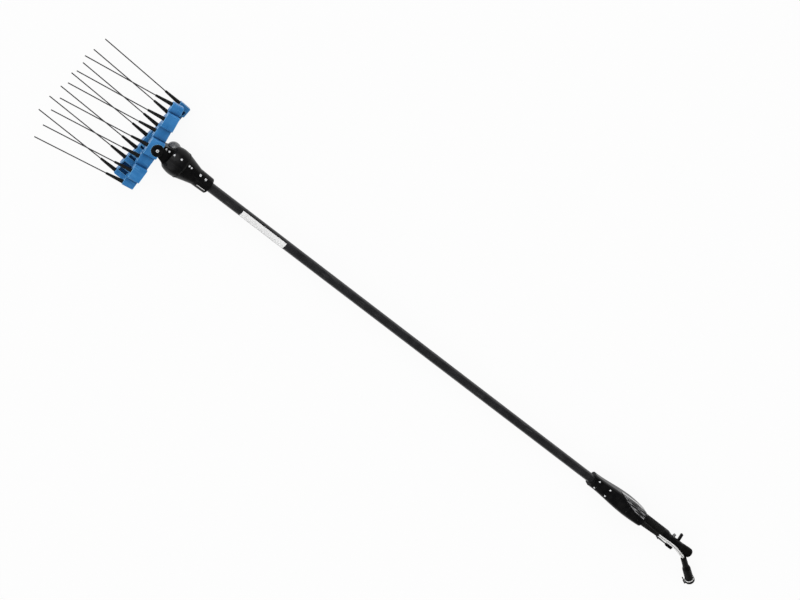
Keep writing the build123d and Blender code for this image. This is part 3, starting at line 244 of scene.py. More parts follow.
def make_twin_section(tree, width, waist):
    """Circle drawn in to two lobes, with the depth of the groove stored on its points."""
    half = compute(tree, "DIVIDE", width, 2.0)
    radius = compute(tree, "DIVIDE", half, compute(tree, "ADD", 1.0, waist))
    circle = add_node(tree, "GeometryNodeCurvePrimitiveCircle", Resolution=LEAD_SIDES)
    feed(tree, radius, circle.inputs["Radius"])
    place = add_node(tree, "GeometryNodeInputPosition")
    split = add_node(tree, "ShaderNodeSeparateXYZ")
    feed(tree, place.outputs["Position"], split.inputs["Vector"])
    across = square_share(tree, split.outputs["X"], radius)
    upright = square_share(tree, split.outputs["Y"], radius)
    swell = compute(tree, "MULTIPLY", compute(tree, "SUBTRACT", across, upright), waist)
    moved = add_node(tree, "ShaderNodeVectorMath", operation="SCALE")
    feed(tree, place.outputs["Position"], moved.inputs[0])
    feed(tree, compute(tree, "ADD", swell, 1.0), moved.inputs["Scale"])
    grooved = store_groove(tree, circle.outputs["Curve"], compute(tree, "POWER", upright, GROOVE_SHARPNESS))
    section = add_node(tree, "GeometryNodeSetPosition")
    feed(tree, grooved, section.inputs["Geometry"])
    feed(tree, moved.outputs["Vector"], section.inputs["Position"])
    return section.outputs["Geometry"]


def make_lead_tree():
    """Sweeps the two-core section along the seed's edges."""
    tree, start, end = new_shape_tree("twin_lead", LEAD_SHAPE)
    section = make_twin_section(tree, start.outputs["Width"], start.outputs["Waist"])
    line = add_node(tree, "GeometryNodeMeshToCurve")
    level = add_node(tree, "GeometryNodeSetCurveNormal", mode="Z_UP")
    sweep = add_node(tree, "GeometryNodeCurveToMesh", Fill_Caps=True)
    feed(tree, start.outputs["Geometry"], line.inputs["Mesh"])
    feed(tree, line.outputs["Curve"], level.inputs["Curve"])
    feed(tree, level.outputs["Curve"], sweep.inputs["Curve"])
    feed(tree, section, sweep.inputs["Profile Curve"])
    feed(tree, sweep.outputs["Mesh"], end.inputs["Geometry"])
    return tree


lead = grow("power_lead", lead_line, make_lead_tree(), LEAD_SHAPE)
lead.data.shade_smooth()
print("sheath with", len(lead.data.polygons), "faces")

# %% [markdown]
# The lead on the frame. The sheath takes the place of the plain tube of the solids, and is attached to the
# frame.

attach(lead, "frame")
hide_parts("power_cable")

# %% [markdown]
# Mould grain, the first of four effects that many finishes share. Moulded plastic and rubber have a fine
# eroded grain from the mould. Smooth cells and fine noise together give a height for a bump, and slow
# noise gives a shade that drifts over the surface. Such an effect is a node group: it is built once, and
# each material sets its own scale. Textures read Object coordinates, which stay on a piece as it moves.

# %% Shared effect: mould grain


def new_group(name, inputs, outputs):
    """Starts a shader node group with named float inputs and outputs."""
    tree = bpy.data.node_groups.new(name, "ShaderNodeTree")
    for label, value in inputs.items():
        socket = tree.interface.new_socket(label, in_out="INPUT", socket_type="NodeSocketFloat")
        socket.default_value = value
    for label in outputs:
        tree.interface.new_socket(label, in_out="OUTPUT", socket_type="NodeSocketFloat")
    return tree, tree.nodes.new("NodeGroupInput"), tree.nodes.new("NodeGroupOutput")


def own_place(tree):
    """The coordinates of the piece itself."""
    return add_node(tree, "ShaderNodeTexCoord").outputs["Object"]


def noise(tree, place, scale, detail, roughness):
    """Noise over a place; the scale is a number or a socket."""
    node = add_node(tree, "ShaderNodeTexNoise", Detail=detail, Roughness=roughness)
    feed(tree, place, node.inputs["Vector"])
    feed(tree, scale, node.inputs["Scale"])
    return node.outputs["Fac"]


def make_grain_group():
    """Fine mould grain: Height for a bump, and Shade, a slow change between 0 and 1."""
    inputs = {"Grain Scale": 1400.0, "Shade Scale": 25.0}
    tree, start, end = new_group("mould_grain", inputs, ["Height", "Shade"])
    place = own_place(tree)
    cells = add_node(tree, "ShaderNodeTexVoronoi", feature="SMOOTH_F1")
    feed(tree, place, cells.inputs["Vector"])
    feed(tree, start.outputs["Grain Scale"], cells.inputs["Scale"])
    fine = noise(tree, place, start.outputs["Grain Scale"], detail=3.0, roughness=0.6)
    slow = noise(tree, place, start.outputs["Shade Scale"], detail=4.0, roughness=0.55)
    feed(tree, compute(tree, "ADD", cells.outputs["Distance"], fine), end.inputs["Height"])
    feed(tree, slow, end.inputs["Shade"])
    return tree


GRAIN = make_grain_group()
print("shared effect", GRAIN.name, "with", len(GRAIN.nodes), "nodes")

# %% [markdown]
# Handling rub. Hands and branches leave faint rubbed patches and thin scratches. Noise cut off at a level
# gives the patches. The same noise on stretched and turned coordinates gives the scratches, and both
# become one soft mask.

# %% Shared effect: handling rub
SCRATCH_STRETCH = (0.08, 1.0, 0.6)
SCRATCH_TURN = (0.3, 0.2, 0.5)
PATCH_SPAN = (0.52, 0.72)
SCRATCH_SPAN = (0.62, 0.70)


def stretched_place(tree, stretch, turn=(0.0, 0.0, 0.0)):
    """The piece's own coordinates, stretched and turned."""
    mapping = add_node(tree, "ShaderNodeMapping", Scale=stretch, Rotation=turn)
    feed(tree, own_place(tree), mapping.inputs["Vector"])
    return mapping.outputs["Vector"]


def remap(tree, value, span, result=(0.0, 1.0)):
    """Spreads a span of values over a result range, and stops at its ends."""
    (low, high), (first, last) = span, result
    node = add_node(tree, "ShaderNodeMapRange", From_Min=low, From_Max=high, To_Min=first, To_Max=last)
    feed(tree, value, node.inputs["Value"])
    return node.outputs["Result"]


def make_rub_group():
    """Soft rubbed patches and thin scratches as one mask."""
    inputs = {"Patch Scale": 18.0, "Scratch Scale": 220.0, "Amount": 0.5}
    tree, start, end = new_group("handling_rub", inputs, ["Mask"])
    drawn_out = stretched_place(tree, SCRATCH_STRETCH, SCRATCH_TURN)
    patch = noise(tree, own_place(tree), start.outputs["Patch Scale"], detail=5.0, roughness=0.6)
    scratch = noise(tree, drawn_out, start.outputs["Scratch Scale"], detail=2.0, roughness=0.4)
    patches = remap(tree, patch, PATCH_SPAN)
    scratches = remap(tree, scratch, SCRATCH_SPAN)
    both = compute(tree, "MULTIPLY_ADD", patches, scratches, scratches)
    feed(tree, compute(tree, "MULTIPLY", both, start.outputs["Amount"], clamp=True), end.inputs["Mask"])
    return tree


RUB = make_rub_group()
print("shared effect", RUB.name, "with", len(RUB.nodes), "nodes")

# %% [markdown]
# Settled dust. Dust lies on faces that look up, so the mask starts from the Z of the normal. Noise breaks
# it up into specks, as a film of dust is never even.

# %% Shared effect: settled dust
UPWARD_SPAN = (0.2, 1.0)
SPECK_SPAN = (0.4, 0.75)


def make_dust_group():
    """Thin dust on faces that look up, broken up by noise."""
    inputs = {"Dust Scale": 60.0, "Amount": 0.15}
    tree, start, end = new_group("settled_dust", inputs, ["Mask"])
    facing = add_node(tree, "ShaderNodeNewGeometry")
    split = add_node(tree, "ShaderNodeSeparateXYZ")
    feed(tree, facing.outputs["Normal"], split.inputs["Vector"])
    upward = remap(tree, split.outputs["Z"], UPWARD_SPAN)
    grains = noise(tree, own_place(tree), start.outputs["Dust Scale"], detail=6.0, roughness=0.7)
    film = compute(tree, "MULTIPLY", upward, remap(tree, grains, SPECK_SPAN))
    feed(tree, compute(tree, "MULTIPLY", film, start.outputs["Amount"], clamp=True), end.inputs["Mask"])
    return tree


DUST = make_dust_group()
print("shared effect", DUST.name, "with", len(DUST.nodes), "nodes")

# %% [markdown]
# Edges and creases, as painted light. Outer edges are painted pale as a highlight, and inner corners are
# painted dark as shade. The Bevel node turns the normal near an edge, so the dot product with the true
# normal falls below one there. The Ambient Occlusion node sees how closed in a point is, which tells the
# hollow edges from the outer ones.

# %% Shared effect: painted edge highlights and crease shade
EDGE_RADIUS = 0.0024
EDGE_SAMPLES = 6
CREASE_SAMPLES = 8
BEND_SPAN = (0.985, 0.86)
CREASE_SPAN = (0.95, 0.45)


def make_edge_group():
    """Edge is 1 along outer edges for a painted highlight, Crease is 1 in inner corners for painted shade.
    """
    inputs = {"Edge Radius": EDGE_RADIUS, "Crease Reach": 0.028}
    tree, start, end = new_group("edge_highlight_and_crease_shade", inputs, ["Edge", "Crease"])
    facing = add_node(tree, "ShaderNodeNewGeometry")
    rounded = add_node(tree, "ShaderNodeBevel", samples=EDGE_SAMPLES)
    hollow = add_node(tree, "ShaderNodeAmbientOcclusion", samples=CREASE_SAMPLES, only_local=True)
    turn = add_node(tree, "ShaderNodeVectorMath", operation="DOT_PRODUCT")
    feed(tree, start.outputs["Edge Radius"], rounded.inputs["Radius"])
    feed(tree, start.outputs["Crease Reach"], hollow.inputs["Distance"])
    feed(tree, facing.outputs["Normal"], turn.inputs[0])
    feed(tree, rounded.outputs["Normal"], turn.inputs[1])
    bend = remap(tree, turn.outputs["Value"], BEND_SPAN)
    crease = remap(tree, hollow.outputs["AO"], CREASE_SPAN)
    outside = compute(tree, "SUBTRACT", 1.0, crease)
    feed(tree, compute(tree, "MULTIPLY", bend, outside), end.inputs["Edge"])
    feed(tree, crease, end.inputs["Crease"])
    return tree


EDGES = make_edge_group()
print("shared effect", EDGES.name, "with", len(EDGES.nodes), "nodes")

# %% [markdown]
# Helpers for materials. Every finish starts as a Principled shader and lays colours over each other along
# masks. These helpers start a material, place a shared effect in it, mix two colours and add a bump. The
# Mix node has sockets for every kind of value, so those for colours are found by their place.

# %% Helpers for materials
MIX_FIRST = 6
MIX_SECOND = 7
MIX_RESULT = 2


def start_material(name):
    material = bpy.data.materials.new(name)
    material.use_nodes = True
    tree = material.node_tree
    return material, tree, tree.nodes["Principled BSDF"]


def place_group(tree, group, **values):
    node = tree.nodes.new("ShaderNodeGroup")
    node.node_tree = group
    for name, value in values.items():
        node.inputs[name.replace("_", " ")].default_value = value
    return node


def mix_colour(tree, mask, first, second):
    """Colour that goes from first to second along a mask; each may be a colour or a socket."""
    mix = add_node(tree, "ShaderNodeMix", data_type="RGBA")
    feed(tree, mask, mix.inputs["Factor"])
    for index, colour in ((MIX_FIRST, first), (MIX_SECOND, second)):
        plain = not isinstance(colour, bpy.types.NodeSocket)
        feed(tree, (*colour, 1.0) if plain else colour, mix.inputs[index])
    return mix.outputs[MIX_RESULT]


def bump(tree, shader, height, depth):
    node = add_node(tree, "ShaderNodeBump", Strength=1.0, Distance=depth)
    feed(tree, height, node.inputs["Height"])
    feed(tree, node.outputs["Normal"], shader.inputs["Normal"])


def grey(level):
    return (level, level, level)


print("helpers for materials:", start_material.__name__, place_group.__name__, mix_colour.__name__)

# %% [markdown]
# One recipe for moulded and coated surfaces. The real tool is mostly injection-moulded plastic, rubber and
# a coated tube. They differ in colour, gloss and the size of their grain, so one function lays the same
# effects over a base colour and each finish only chooses its numbers. Noise seldom leaves a middle span,
# so that span is spread over the whole way from one colour to the other, and over the roughness. Painted
# highlights on outer edges and painted shade in inner corners are left to the finishes that ask for them.

# %% Recipe for moulded surfaces
DUST_COLOUR = (0.32, 0.31, 0.29)
NOISE_SPAN = (0.3, 0.7)
finishes = {}


def paint_edge_light_and_shade(tree, colour, edge_highlight_colour, crease_shade_colour, edge_radius):
    """Colour with a painted highlight along outer edges and painted shade in inner corners."""
    edges = place_group(tree, EDGES, Edge_Radius=edge_radius)
    deep = mix_colour(tree, edges.outputs["Crease"], colour, crease_shade_colour)
    return mix_colour(tree, edges.outputs["Edge"], deep, edge_highlight_colour)


def moulded(name, colour, light, rubbed, roughness, grain_scale, grain_depth,
            rub=0.4, dust=0.1, coat=0.0, specular=0.5, edges=None):
    """Moulded or coated finish: slow colour change, rubbed marks, settled dust and mould grain."""
    material, tree, shader = start_material(name)
    grain = place_group(tree, GRAIN, Grain_Scale=grain_scale)
    rub_mask = place_group(tree, RUB, Amount=rub).outputs["Mask"]
    dust_mask = place_group(tree, DUST, Amount=dust).outputs["Mask"]
    shade = grain.outputs["Shade"]
    base = mix_colour(tree, remap(tree, shade, NOISE_SPAN), colour, light)
    worn = mix_colour(tree, rub_mask, base, rubbed)
    surface = mix_colour(tree, dust_mask, worn, DUST_COLOUR)
    # Optional painted highlights on outer edges and painted shade in inner corners.
    if edges:
        surface = paint_edge_light_and_shade(tree, surface, *edges)
    feed(tree, surface, shader.inputs["Base Color"])
    feed(tree, remap(tree, shade, NOISE_SPAN, roughness), shader.inputs["Roughness"])
    shader.inputs["Coat Weight"].default_value = coat
    shader.inputs["Specular IOR Level"].default_value = specular
    bump(tree, shader, grain.outputs["Height"], grain_depth)
    finishes[name] = material


print("recipe ready:", moulded.__name__)

# %% [markdown]
# The blue of the combs. They are a clear mid blue, and their steps are what gives them their shape in the
# light. So this finish has painted highlights on its edges and painted shade, deep blue, in its corners.

# %% Blue of the combs
# Pale edge colour is a painted highlight, and the deep blue crease colour is painted shade.
moulded("comb_blue", (0.022, 0.155, 0.400), (0.042, 0.225, 0.530), rubbed=(0.10, 0.34, 0.66),
        roughness=(0.26, 0.38), grain_scale=1500.0, grain_depth=0.00004, rub=0.35, dust=0.05,
        edges=((0.24, 0.54, 0.80), (0.004, 0.040, 0.140), EDGE_RADIUS))
print("finish", *finishes)

# %% [markdown]
# The blacks. The head and the handle are satin black, the grip and the boots are duller rubber, and the
# connector is duller still. Black plastic sends back only about one percent of the light, and what the eye
# reads as its shape is the gloss, so these colours stay very dark and the roughness does the work. The
# Bevel node also sees the inner face of a thin wall, so the shells have a small edge radius.

# %% Blacks of head, grip and connector
SHELL_EDGE_RADIUS = 0.0005

# The shells get a faint painted highlight on outer edges and painted shade in inner corners.
moulded("housing_black", (0.0025, 0.0025, 0.0028), (0.0050, 0.0050, 0.0055), rubbed=grey(0.02),
        roughness=(0.20, 0.32), grain_scale=1700.0, grain_depth=0.00003, rub=0.25, dust=0.02,
        specular=0.12, edges=(grey(0.035), grey(0.001), SHELL_EDGE_RADIUS))
moulded("rubber_black", grey(0.0035), grey(0.0065), rubbed=grey(0.02),
        roughness=(0.48, 0.64), grain_scale=1100.0, grain_depth=0.00006, rub=0.2, dust=0.02, specular=0.15)
moulded("connector_black", grey(0.0020), grey(0.0040), rubbed=grey(0.012),
        roughness=(0.42, 0.56), grain_scale=1300.0, grain_depth=0.00004, rub=0.2, dust=0.01, specular=0.06)
moulded("wire_black", grey(0.006), grey(0.012), rubbed=grey(0.03),
        roughness=(0.45, 0.6), grain_scale=1200.0, grain_depth=0.00003)
print("finishes so far:", *finishes)

# %% [markdown]
# The tube and the rods. The pole is a coated tube of a dark grey, a little lighter than the plastic. The
# rods of the combs are dark too, and branches have rubbed them more than the rest.

# %% Pole and rods
moulded("pole_charcoal", (0.010, 0.010, 0.011), (0.016, 0.016, 0.018), rubbed=grey(0.07),
        roughness=(0.26, 0.38), grain_scale=1900.0, grain_depth=0.00002, rub=0.3, dust=0.03, specular=0.42)
moulded("tine_dark", (0.012, 0.012, 0.013), (0.024, 0.024, 0.027), rubbed=grey(0.08),
        roughness=(0.34, 0.48), grain_scale=2200.0, grain_depth=0.00002, rub=0.5, dust=0.04)
print("finishes so far:", *finishes)

# %% [markdown]
# The whites. The lead, the band on the pole and the connector's seal are white, and white shows dirt. The
# groove between the two cores of the lead is darkened with painted shade along the attribute that the sheath
# stores.

# %% Whites of lead, band and seal
# Painted shade in the groove between the two cores.
GROOVE_SHADE_COLOUR = grey(0.10)


def lay_over(material, mask, colour):
    """Lays a colour over the finish that is there, along a mask."""
    tree = material.node_tree
    base = tree.nodes["Principled BSDF"].inputs["Base Color"]
    feed(tree, mix_colour(tree, mask, base.links[0].from_socket, colour), base)


def paint_groove_shade(material, colour):
    """Darkens a finish with painted shade along the groove that its piece stores on its points."""
    groove = add_node(material.node_tree, "ShaderNodeAttribute", attribute_name=GROOVE_MARK)
    lay_over(material, groove.outputs["Fac"], colour)


moulded("cable_white", (0.80, 0.80, 0.79), (0.87, 0.87, 0.86), rubbed=(0.62, 0.61, 0.59),
        roughness=(0.34, 0.46), grain_scale=1200.0, grain_depth=0.00003, rub=0.15, dust=0.04)
moulded("band_white", grey(0.86), grey(0.91), rubbed=(0.74, 0.74, 0.73),
        roughness=(0.28, 0.40), grain_scale=900.0, grain_depth=0.000002, rub=0.1, dust=0.02)
moulded("seal_pale", (0.74, 0.74, 0.73), (0.82, 0.82, 0.81), rubbed=grey(0.6),
        roughness=(0.4, 0.5), grain_scale=1200.0, grain_depth=0.00001, rub=0.15, dust=0.04)
paint_groove_shade(finishes["cable_white"], GROOVE_SHADE_COLOUR)
print("finishes so far:", *finishes)

# %% [markdown]
# The glossy side cover. It is smooth smoked plastic, with pale streaks painted along it as highlights. Noise
# on coordinates that are stretched along the pole gives streaks that all run one way.

# %% Smoked cover of the handle
STREAK_HIGHLIGHT_COLOUR = (0.40, 0.40, 0.41)
STREAK_STRETCH = (28.0, 260.0, 260.0)
STREAK_SPAN = (0.50, 0.68)


def paint_streak_highlights(material):
    """Painted highlights as pale streaks that run along X, over the finish that is there."""
    tree = material.node_tree
    streaks = noise(tree, stretched_place(tree, STREAK_STRETCH), 1.0, detail=3.0, roughness=0.65)
    lay_over(material, remap(tree, streaks, STREAK_SPAN), STREAK_HIGHLIGHT_COLOUR)


moulded("cover_smoke", (0.0050, 0.0050, 0.0055), (0.0090, 0.0090, 0.0095), rubbed=grey(0.03),
        roughness=(0.10, 0.20), grain_scale=600.0, grain_depth=0.00001, rub=0.3, dust=0.03, coat=1.0)
paint_streak_highlights(finishes["cover_smoke"])
print("cover with", len(finishes["cover_smoke"].node_tree.nodes), "nodes")

# %% [markdown]
# The small greys and the board. The rounded cap on the head's flank and the button are grey plastic. The
# control board inside the handle is green, and is only seen when the shells are taken off.

# %% Greys and the board
moulded("cap_grey", (0.095, 0.098, 0.102), (0.145, 0.149, 0.153), rubbed=grey(0.3),
        roughness=(0.22, 0.34), grain_scale=1600.0, grain_depth=0.00002, rub=0.3, dust=0.06, coat=0.5)
moulded("button_grey", (0.075, 0.076, 0.078), (0.12, 0.121, 0.124), rubbed=grey(0.2),
        roughness=(0.3, 0.42), grain_scale=1600.0, grain_depth=0.00002, rub=0.3, dust=0.05)
moulded("board_green", (0.012, 0.11, 0.045), (0.02, 0.15, 0.06), rubbed=(0.2, 0.2, 0.1),
        roughness=(0.3, 0.4), grain_scale=700.0, grain_depth=0.00001)
print("moulded finishes:", len(finishes))

# %% [markdown]
# The metal finishes. Zinc screws, turned brass and machined steel all show fine lines from the tool that
# cut them. Noise stretched along one direction gives those lines, and it changes roughness and a tiny
# bump, so a lamp is drawn out into a streak.

# %% Metal finishes
LINE_STRETCH = (0.05, 1.0, 1.0)
METAL_RUB = 0.5


def metal(name, colour, rubbed, roughness, line_scale, line_depth, metallic=1.0):
    """Machined finish: rubbed patches, and fine lines in roughness and bump."""
    material, tree, shader = start_material(name)
    lines = noise(tree, stretched_place(tree, LINE_STRETCH), line_scale, detail=3.0, roughness=0.6)
    rub_mask = place_group(tree, RUB, Amount=METAL_RUB).outputs["Mask"]
    feed(tree, mix_colour(tree, rub_mask, colour, rubbed), shader.inputs["Base Color"])
    feed(tree, remap(tree, lines, NOISE_SPAN, roughness), shader.inputs["Roughness"])
    shader.inputs["Metallic"].default_value = metallic
    bump(tree, shader, lines, line_depth)
    finishes[name] = material


metal("screw_steel", (0.84, 0.85, 0.86), rubbed=grey(0.62),
      roughness=(0.36, 0.50), line_scale=900.0, line_depth=0.00001, metallic=0.3)
metal("screw_dark", (0.030, 0.030, 0.032), rubbed=grey(0.08),
      roughness=(0.30, 0.44), line_scale=900.0, line_depth=0.00001)
metal("drive_steel", (0.50, 0.50, 0.51), rubbed=grey(0.32),
      roughness=(0.25, 0.40), line_scale=700.0, line_depth=0.00002)
metal("spring_steel", (0.46, 0.47, 0.48), rubbed=grey(0.30),
      roughness=(0.20, 0.32), line_scale=800.0, line_depth=0.00001)
metal("motor_aluminium", (0.62, 0.62, 0.64), rubbed=grey(0.40),
      roughness=(0.30, 0.45), line_scale=700.0, line_depth=0.00002)
metal("bush_brass", (0.68, 0.47, 0.18), rubbed=(0.40, 0.28, 0.12),
      roughness=(0.22, 0.36), line_scale=800.0, line_depth=0.00001)
print("finishes with the metals:", len(finishes))

# %% [markdown]
# Dressing the solids. Each solid takes the finish of its slot. A few small pieces differ from the rest of
# their slot: the ribbed side cover of the handle is glossy and smoky, its button is a darker grey, and the
# connector and the end of the grip are a deeper and duller black.

# %% Dress the solids
OWN_FINISH = {
    "handle_side_cover": "cover_smoke",
    "hold_button": "button_grey",
    "connector_body": "connector_black",
    "connector_boot": "connector_black",
    "connector_latch": "connector_black",
    "grip_pommel": "connector_black",
}


def set_finish(piece, name):
    piece.data.materials.clear()
    piece.data.materials.append(finishes[name])


for subpart in frame["record"]["subparts"]:
    name = subpart["node"]
    set_finish(nodes[name], OWN_FINISH.get(name, subpart["material_slot"]))
set_finish(lead, "cable_white")
print("dressed", len(nodes), "solids")

# %% [markdown]
# The seats of the screws. The head is held by two rows of bright socket screws and the handle by three
# pairs. In the solids each is a plain stepped pin. The places are read from the solids, so the new screws
# sit exactly in their holes: a merged copy of the mesh falls into loose parts, and each part gives a
# centre, a width and a direction.

# %% Seats of the screws
NECK_START = -1.848
HANDLE_START = -0.148
MERGE_DISTANCE = 0.000001


def loose_parts(node_name):
    """Lists of corner points, one for each separate solid in a node."""
    shape = bmesh.new()
    shape.from_mesh(nodes[node_name].data)
    bmesh.ops.remove_doubles(shape, verts=shape.verts, dist=MERGE_DISTANCE)
    waiting = set(shape.verts)
    parts = []
    while waiting:
        front = [waiting.pop()]
        part = []
        while front:
            vertex = front.pop()
            part.append(vertex.co.copy())
            near = {edge.other_vert(vertex) for edge in vertex.link_edges} & waiting
            waiting -= near
            front.extend(near)
        parts.append(part)
    shape.free()
    return parts


def screw_seat(part):
    """Top of the head, the way it faces and its width."""
    middle = sum(part, Vector()) / len(part)
    way = Vector((0.0, middle.y, middle.z - AXIS_HEIGHT))
    if middle.x < NECK_START or middle.x > HANDLE_START:
        way = Vector((0.0, 0.0, way.z))
    way.normalize()
    along = [(corner - middle).dot(way) for corner in part]
    width = 2 * max(((corner - middle) - way * step).length for corner, step in zip(part, along))
    return middle + way * max(along), way, width


print("head screws:", len(loose_parts("head_screws")), "handle screws:", len(loose_parts("handle_screws")))

# %% [markdown]
# One socket screw. A real one has a hexagon socket and a small chamfer, which is what catches the light.
# It is made by extruding a cylinder's end faces and cutting the socket. All its sizes are shares of the
# head's width, so one screw serves for every size.

# %% One socket screw
SCREW_SIDES = 32
SOCKET_SIDES = 6
HEAD_RADIUS = 0.5
SCREW_SHAPE = {
    "Head Height": 0.42,
    "Chamfer": 0.07,
    "Socket Width": 0.34,
    "Socket Depth": 0.18,
    "Shank Width": 0.56,
    "Shank Length": 1.0,
}


def extrude_face(tree, mesh, face, height):
    node = add_node(tree, "GeometryNodeExtrudeMesh")
    feed(tree, mesh, node.inputs["Mesh"])
    feed(tree, face, node.inputs["Selection"])
    feed(tree, height, node.inputs["Offset Scale"])
    return node.outputs["Mesh"], node.outputs["Top"]


def scale_face(tree, mesh, face, share):
    node = add_node(tree, "GeometryNodeScaleElements")
    feed(tree, mesh, node.inputs["Geometry"])
    feed(tree, face, node.inputs["Selection"])
    feed(tree, share, node.inputs["Scale"])
    return node.outputs["Geometry"]


def shift_down(tree, mesh, depth):
    way = add_node(tree, "ShaderNodeCombineXYZ")
    feed(tree, compute(tree, "MULTIPLY", depth, -1.0), way.inputs["Z"])
    node = add_node(tree, "GeometryNodeTransform")
    feed(tree, mesh, node.inputs["Geometry"])
    feed(tree, way.outputs["Vector"], node.inputs["Translation"])
    return node.outputs["Geometry"]


def make_pin(tree, size):
    """Head with a chamfer and a shank below it, with the top of the head at zero."""
    head = add_node(tree, "GeometryNodeMeshCylinder", Vertices=SCREW_SIDES, Radius=HEAD_RADIUS)
    feed(tree, size["Head Height"], head.inputs["Depth"])
    crown, crown_face = extrude_face(tree, head.outputs["Mesh"], head.outputs["Top"], size["Chamfer"])
    inset = compute(tree, "SUBTRACT", 1.0, compute(tree, "MULTIPLY", size["Chamfer"], 2.0))
    crown = scale_face(tree, crown, crown_face, inset)
    step, step_face = extrude_face(tree, crown, head.outputs["Bottom"], 0.0)
    step = scale_face(tree, step, step_face, size["Shank Width"])
    pin, _ = extrude_face(tree, step, step_face, size["Shank Length"])
    top = compute(tree, "ADD", compute(tree, "DIVIDE", size["Head Height"], 2.0), size["Chamfer"])
    return shift_down(tree, pin, top)


def cut_socket(tree, size, pin):
    socket = add_node(tree, "GeometryNodeMeshCylinder", Vertices=SOCKET_SIDES)
    feed(tree, compute(tree, "DIVIDE", size["Socket Width"], 2.0), socket.inputs["Radius"])
    feed(tree, compute(tree, "MULTIPLY", size["Socket Depth"], 2.0), socket.inputs["Depth"])
    cut = add_node(tree, "GeometryNodeMeshBoolean", operation="DIFFERENCE", solver="EXACT")
    feed(tree, pin, cut.inputs["Mesh 1"])
    feed(tree, socket.outputs["Mesh"], cut.inputs["Mesh 2"])
    return cut.outputs["Mesh"]


print("socket screw with", SCREW_SIDES, "sides")

# %% [markdown]
# The tree that sets the screws. A seed mesh has one point for each screw, with the way it faces, its
# width and whether it is dark. The tree puts an instance on each point, turned and scaled by these
# values, makes the instances real and gives them their two finishes.

# %% Screws on their points


def set_on_points(tree, points, mesh):
    """Real copies of a mesh on points, turned and scaled by their way and width."""
    way = add_node(tree, "GeometryNodeInputNamedAttribute", data_type="FLOAT_VECTOR", Name="way")
    width = add_node(tree, "GeometryNodeInputNamedAttribute", data_type="FLOAT", Name="width")
    turn = add_node(tree, "FunctionNodeAlignRotationToVector", axis="Z")
    feed(tree, way.outputs["Attribute"], turn.inputs["Vector"])
    spread = add_node(tree, "GeometryNodeInstanceOnPoints")
    feed(tree, points, spread.inputs["Points"])
    feed(tree, mesh, spread.inputs["Instance"])
    feed(tree, turn.outputs["Rotation"], spread.inputs["Rotation"])
    feed(tree, width.outputs["Attribute"], spread.inputs["Scale"])
    real = add_node(tree, "GeometryNodeRealizeInstances")
    feed(tree, spread.outputs["Instances"], real.inputs["Geometry"])
    return real.outputs["Geometry"]


def set_material(tree, mesh, finish, selection=True):
    node = add_node(tree, "GeometryNodeSetMaterial")
    feed(tree, mesh, node.inputs["Geometry"])
    feed(tree, selection, node.inputs["Selection"])
    feed(tree, finish, node.inputs["Material"])
    return node.outputs["Geometry"]


def make_screw_tree():
    """Sets a socket screw on every point, along its way and scaled to its width."""
    tree, start, end = new_shape_tree("socket_screw", SCREW_SHAPE, ["Finish", "Dark Finish"])
    screw = cut_socket(tree, start.outputs, make_pin(tree, start.outputs))
    screws = set_on_points(tree, start.outputs["Geometry"], screw)
    dark = add_node(tree, "GeometryNodeInputNamedAttribute", data_type="BOOLEAN", Name="dark")
    bright = set_material(tree, screws, start.outputs["Finish"])
    both = set_material(tree, bright, start.outputs["Dark Finish"], dark.outputs["Attribute"])
    feed(tree, both, end.inputs["Geometry"])
    return tree


SCREW_TREE = make_screw_tree()
print("screw tree with", len(SCREW_TREE.nodes), "nodes")

# %% [markdown]
# The screws themselves. Those of the head and the front of the handle are bright, and the rest of the
# handle's are dark. The two bolts of the comb hubs have the same form, so the same tree sets them, each on
# the body of its comb.

# %% Set the screws
DARK_SCREWS_FROM = -0.01
SCREW_BODIES = {
    "head_screws": "frame",
    "handle_screws": "frame",
    "hub_bolt_upper": "comb_upper",
    "hub_bolt_lower": "comb_lower",
}


def screw_points(node_name):
    """Seed mesh with one point for each screw and its way, width and finish."""
    seats = [screw_seat(part) for part in loose_parts(node_name)]
    mesh = bpy.data.meshes.new(node_name + "_points")
    mesh.from_pydata([place for place, way, width in seats], [], [])
    for label, kind in (("way", "FLOAT_VECTOR"), ("width", "FLOAT"), ("dark", "BOOLEAN")):
        mesh.attributes.new(label, kind, "POINT")
    for index, (place, way, width) in enumerate(seats):
        mesh.attributes["way"].data[index].vector = way
        mesh.attributes["width"].data[index].value = width
        mesh.attributes["dark"].data[index].value = place.x > DARK_SCREWS_FROM
    return mesh


def make_screws(node_name, body):
    inputs = dict(SCREW_SHAPE)
    inputs["Finish"] = finishes["screw_steel"]
    inputs["Dark Finish"] = finishes["screw_dark"]
    piece = grow(node_name + "_socketed", screw_points(node_name), SCREW_TREE, inputs)
    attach(piece, body)
    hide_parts(node_name)
    return piece


for node_name, body in SCREW_BODIES.items():
    screws = make_screws(node_name, body)
    print(screws.name, "has", len(screws.data.polygons), "faces")

# %% [markdown]
# The bright strip on the collar. Beside the clamp screws the collar shows one thin bright line of light that
# runs along the pole. A pale strip let into the plastic stands there as a painted highlight. It is made
# here:
# a box is laid along the collar, its edges are bevelled, and it is tilted to the collar's taper and turned
# to its side. It stands a little proud, which is what lets it catch the light.

# %% Painted highlight strip on the collar
COLLAR_RADIUS = 0.024
COLLAR_TAPER = 0.0015 / 0.046
STRIP_LENGTH = 0.028
STRIP_WIDTH = 0.0024
STRIP_DEPTH = 0.0020
STRIP_PROUD = 0.0004
STRIP_RIM = 0.0006
STRIP_RIM_STEPS = 4
ROUND_PROFILE = 0.5
STRIP_FROM_END = 0.007
STRIP_TURN = radians(31.0)


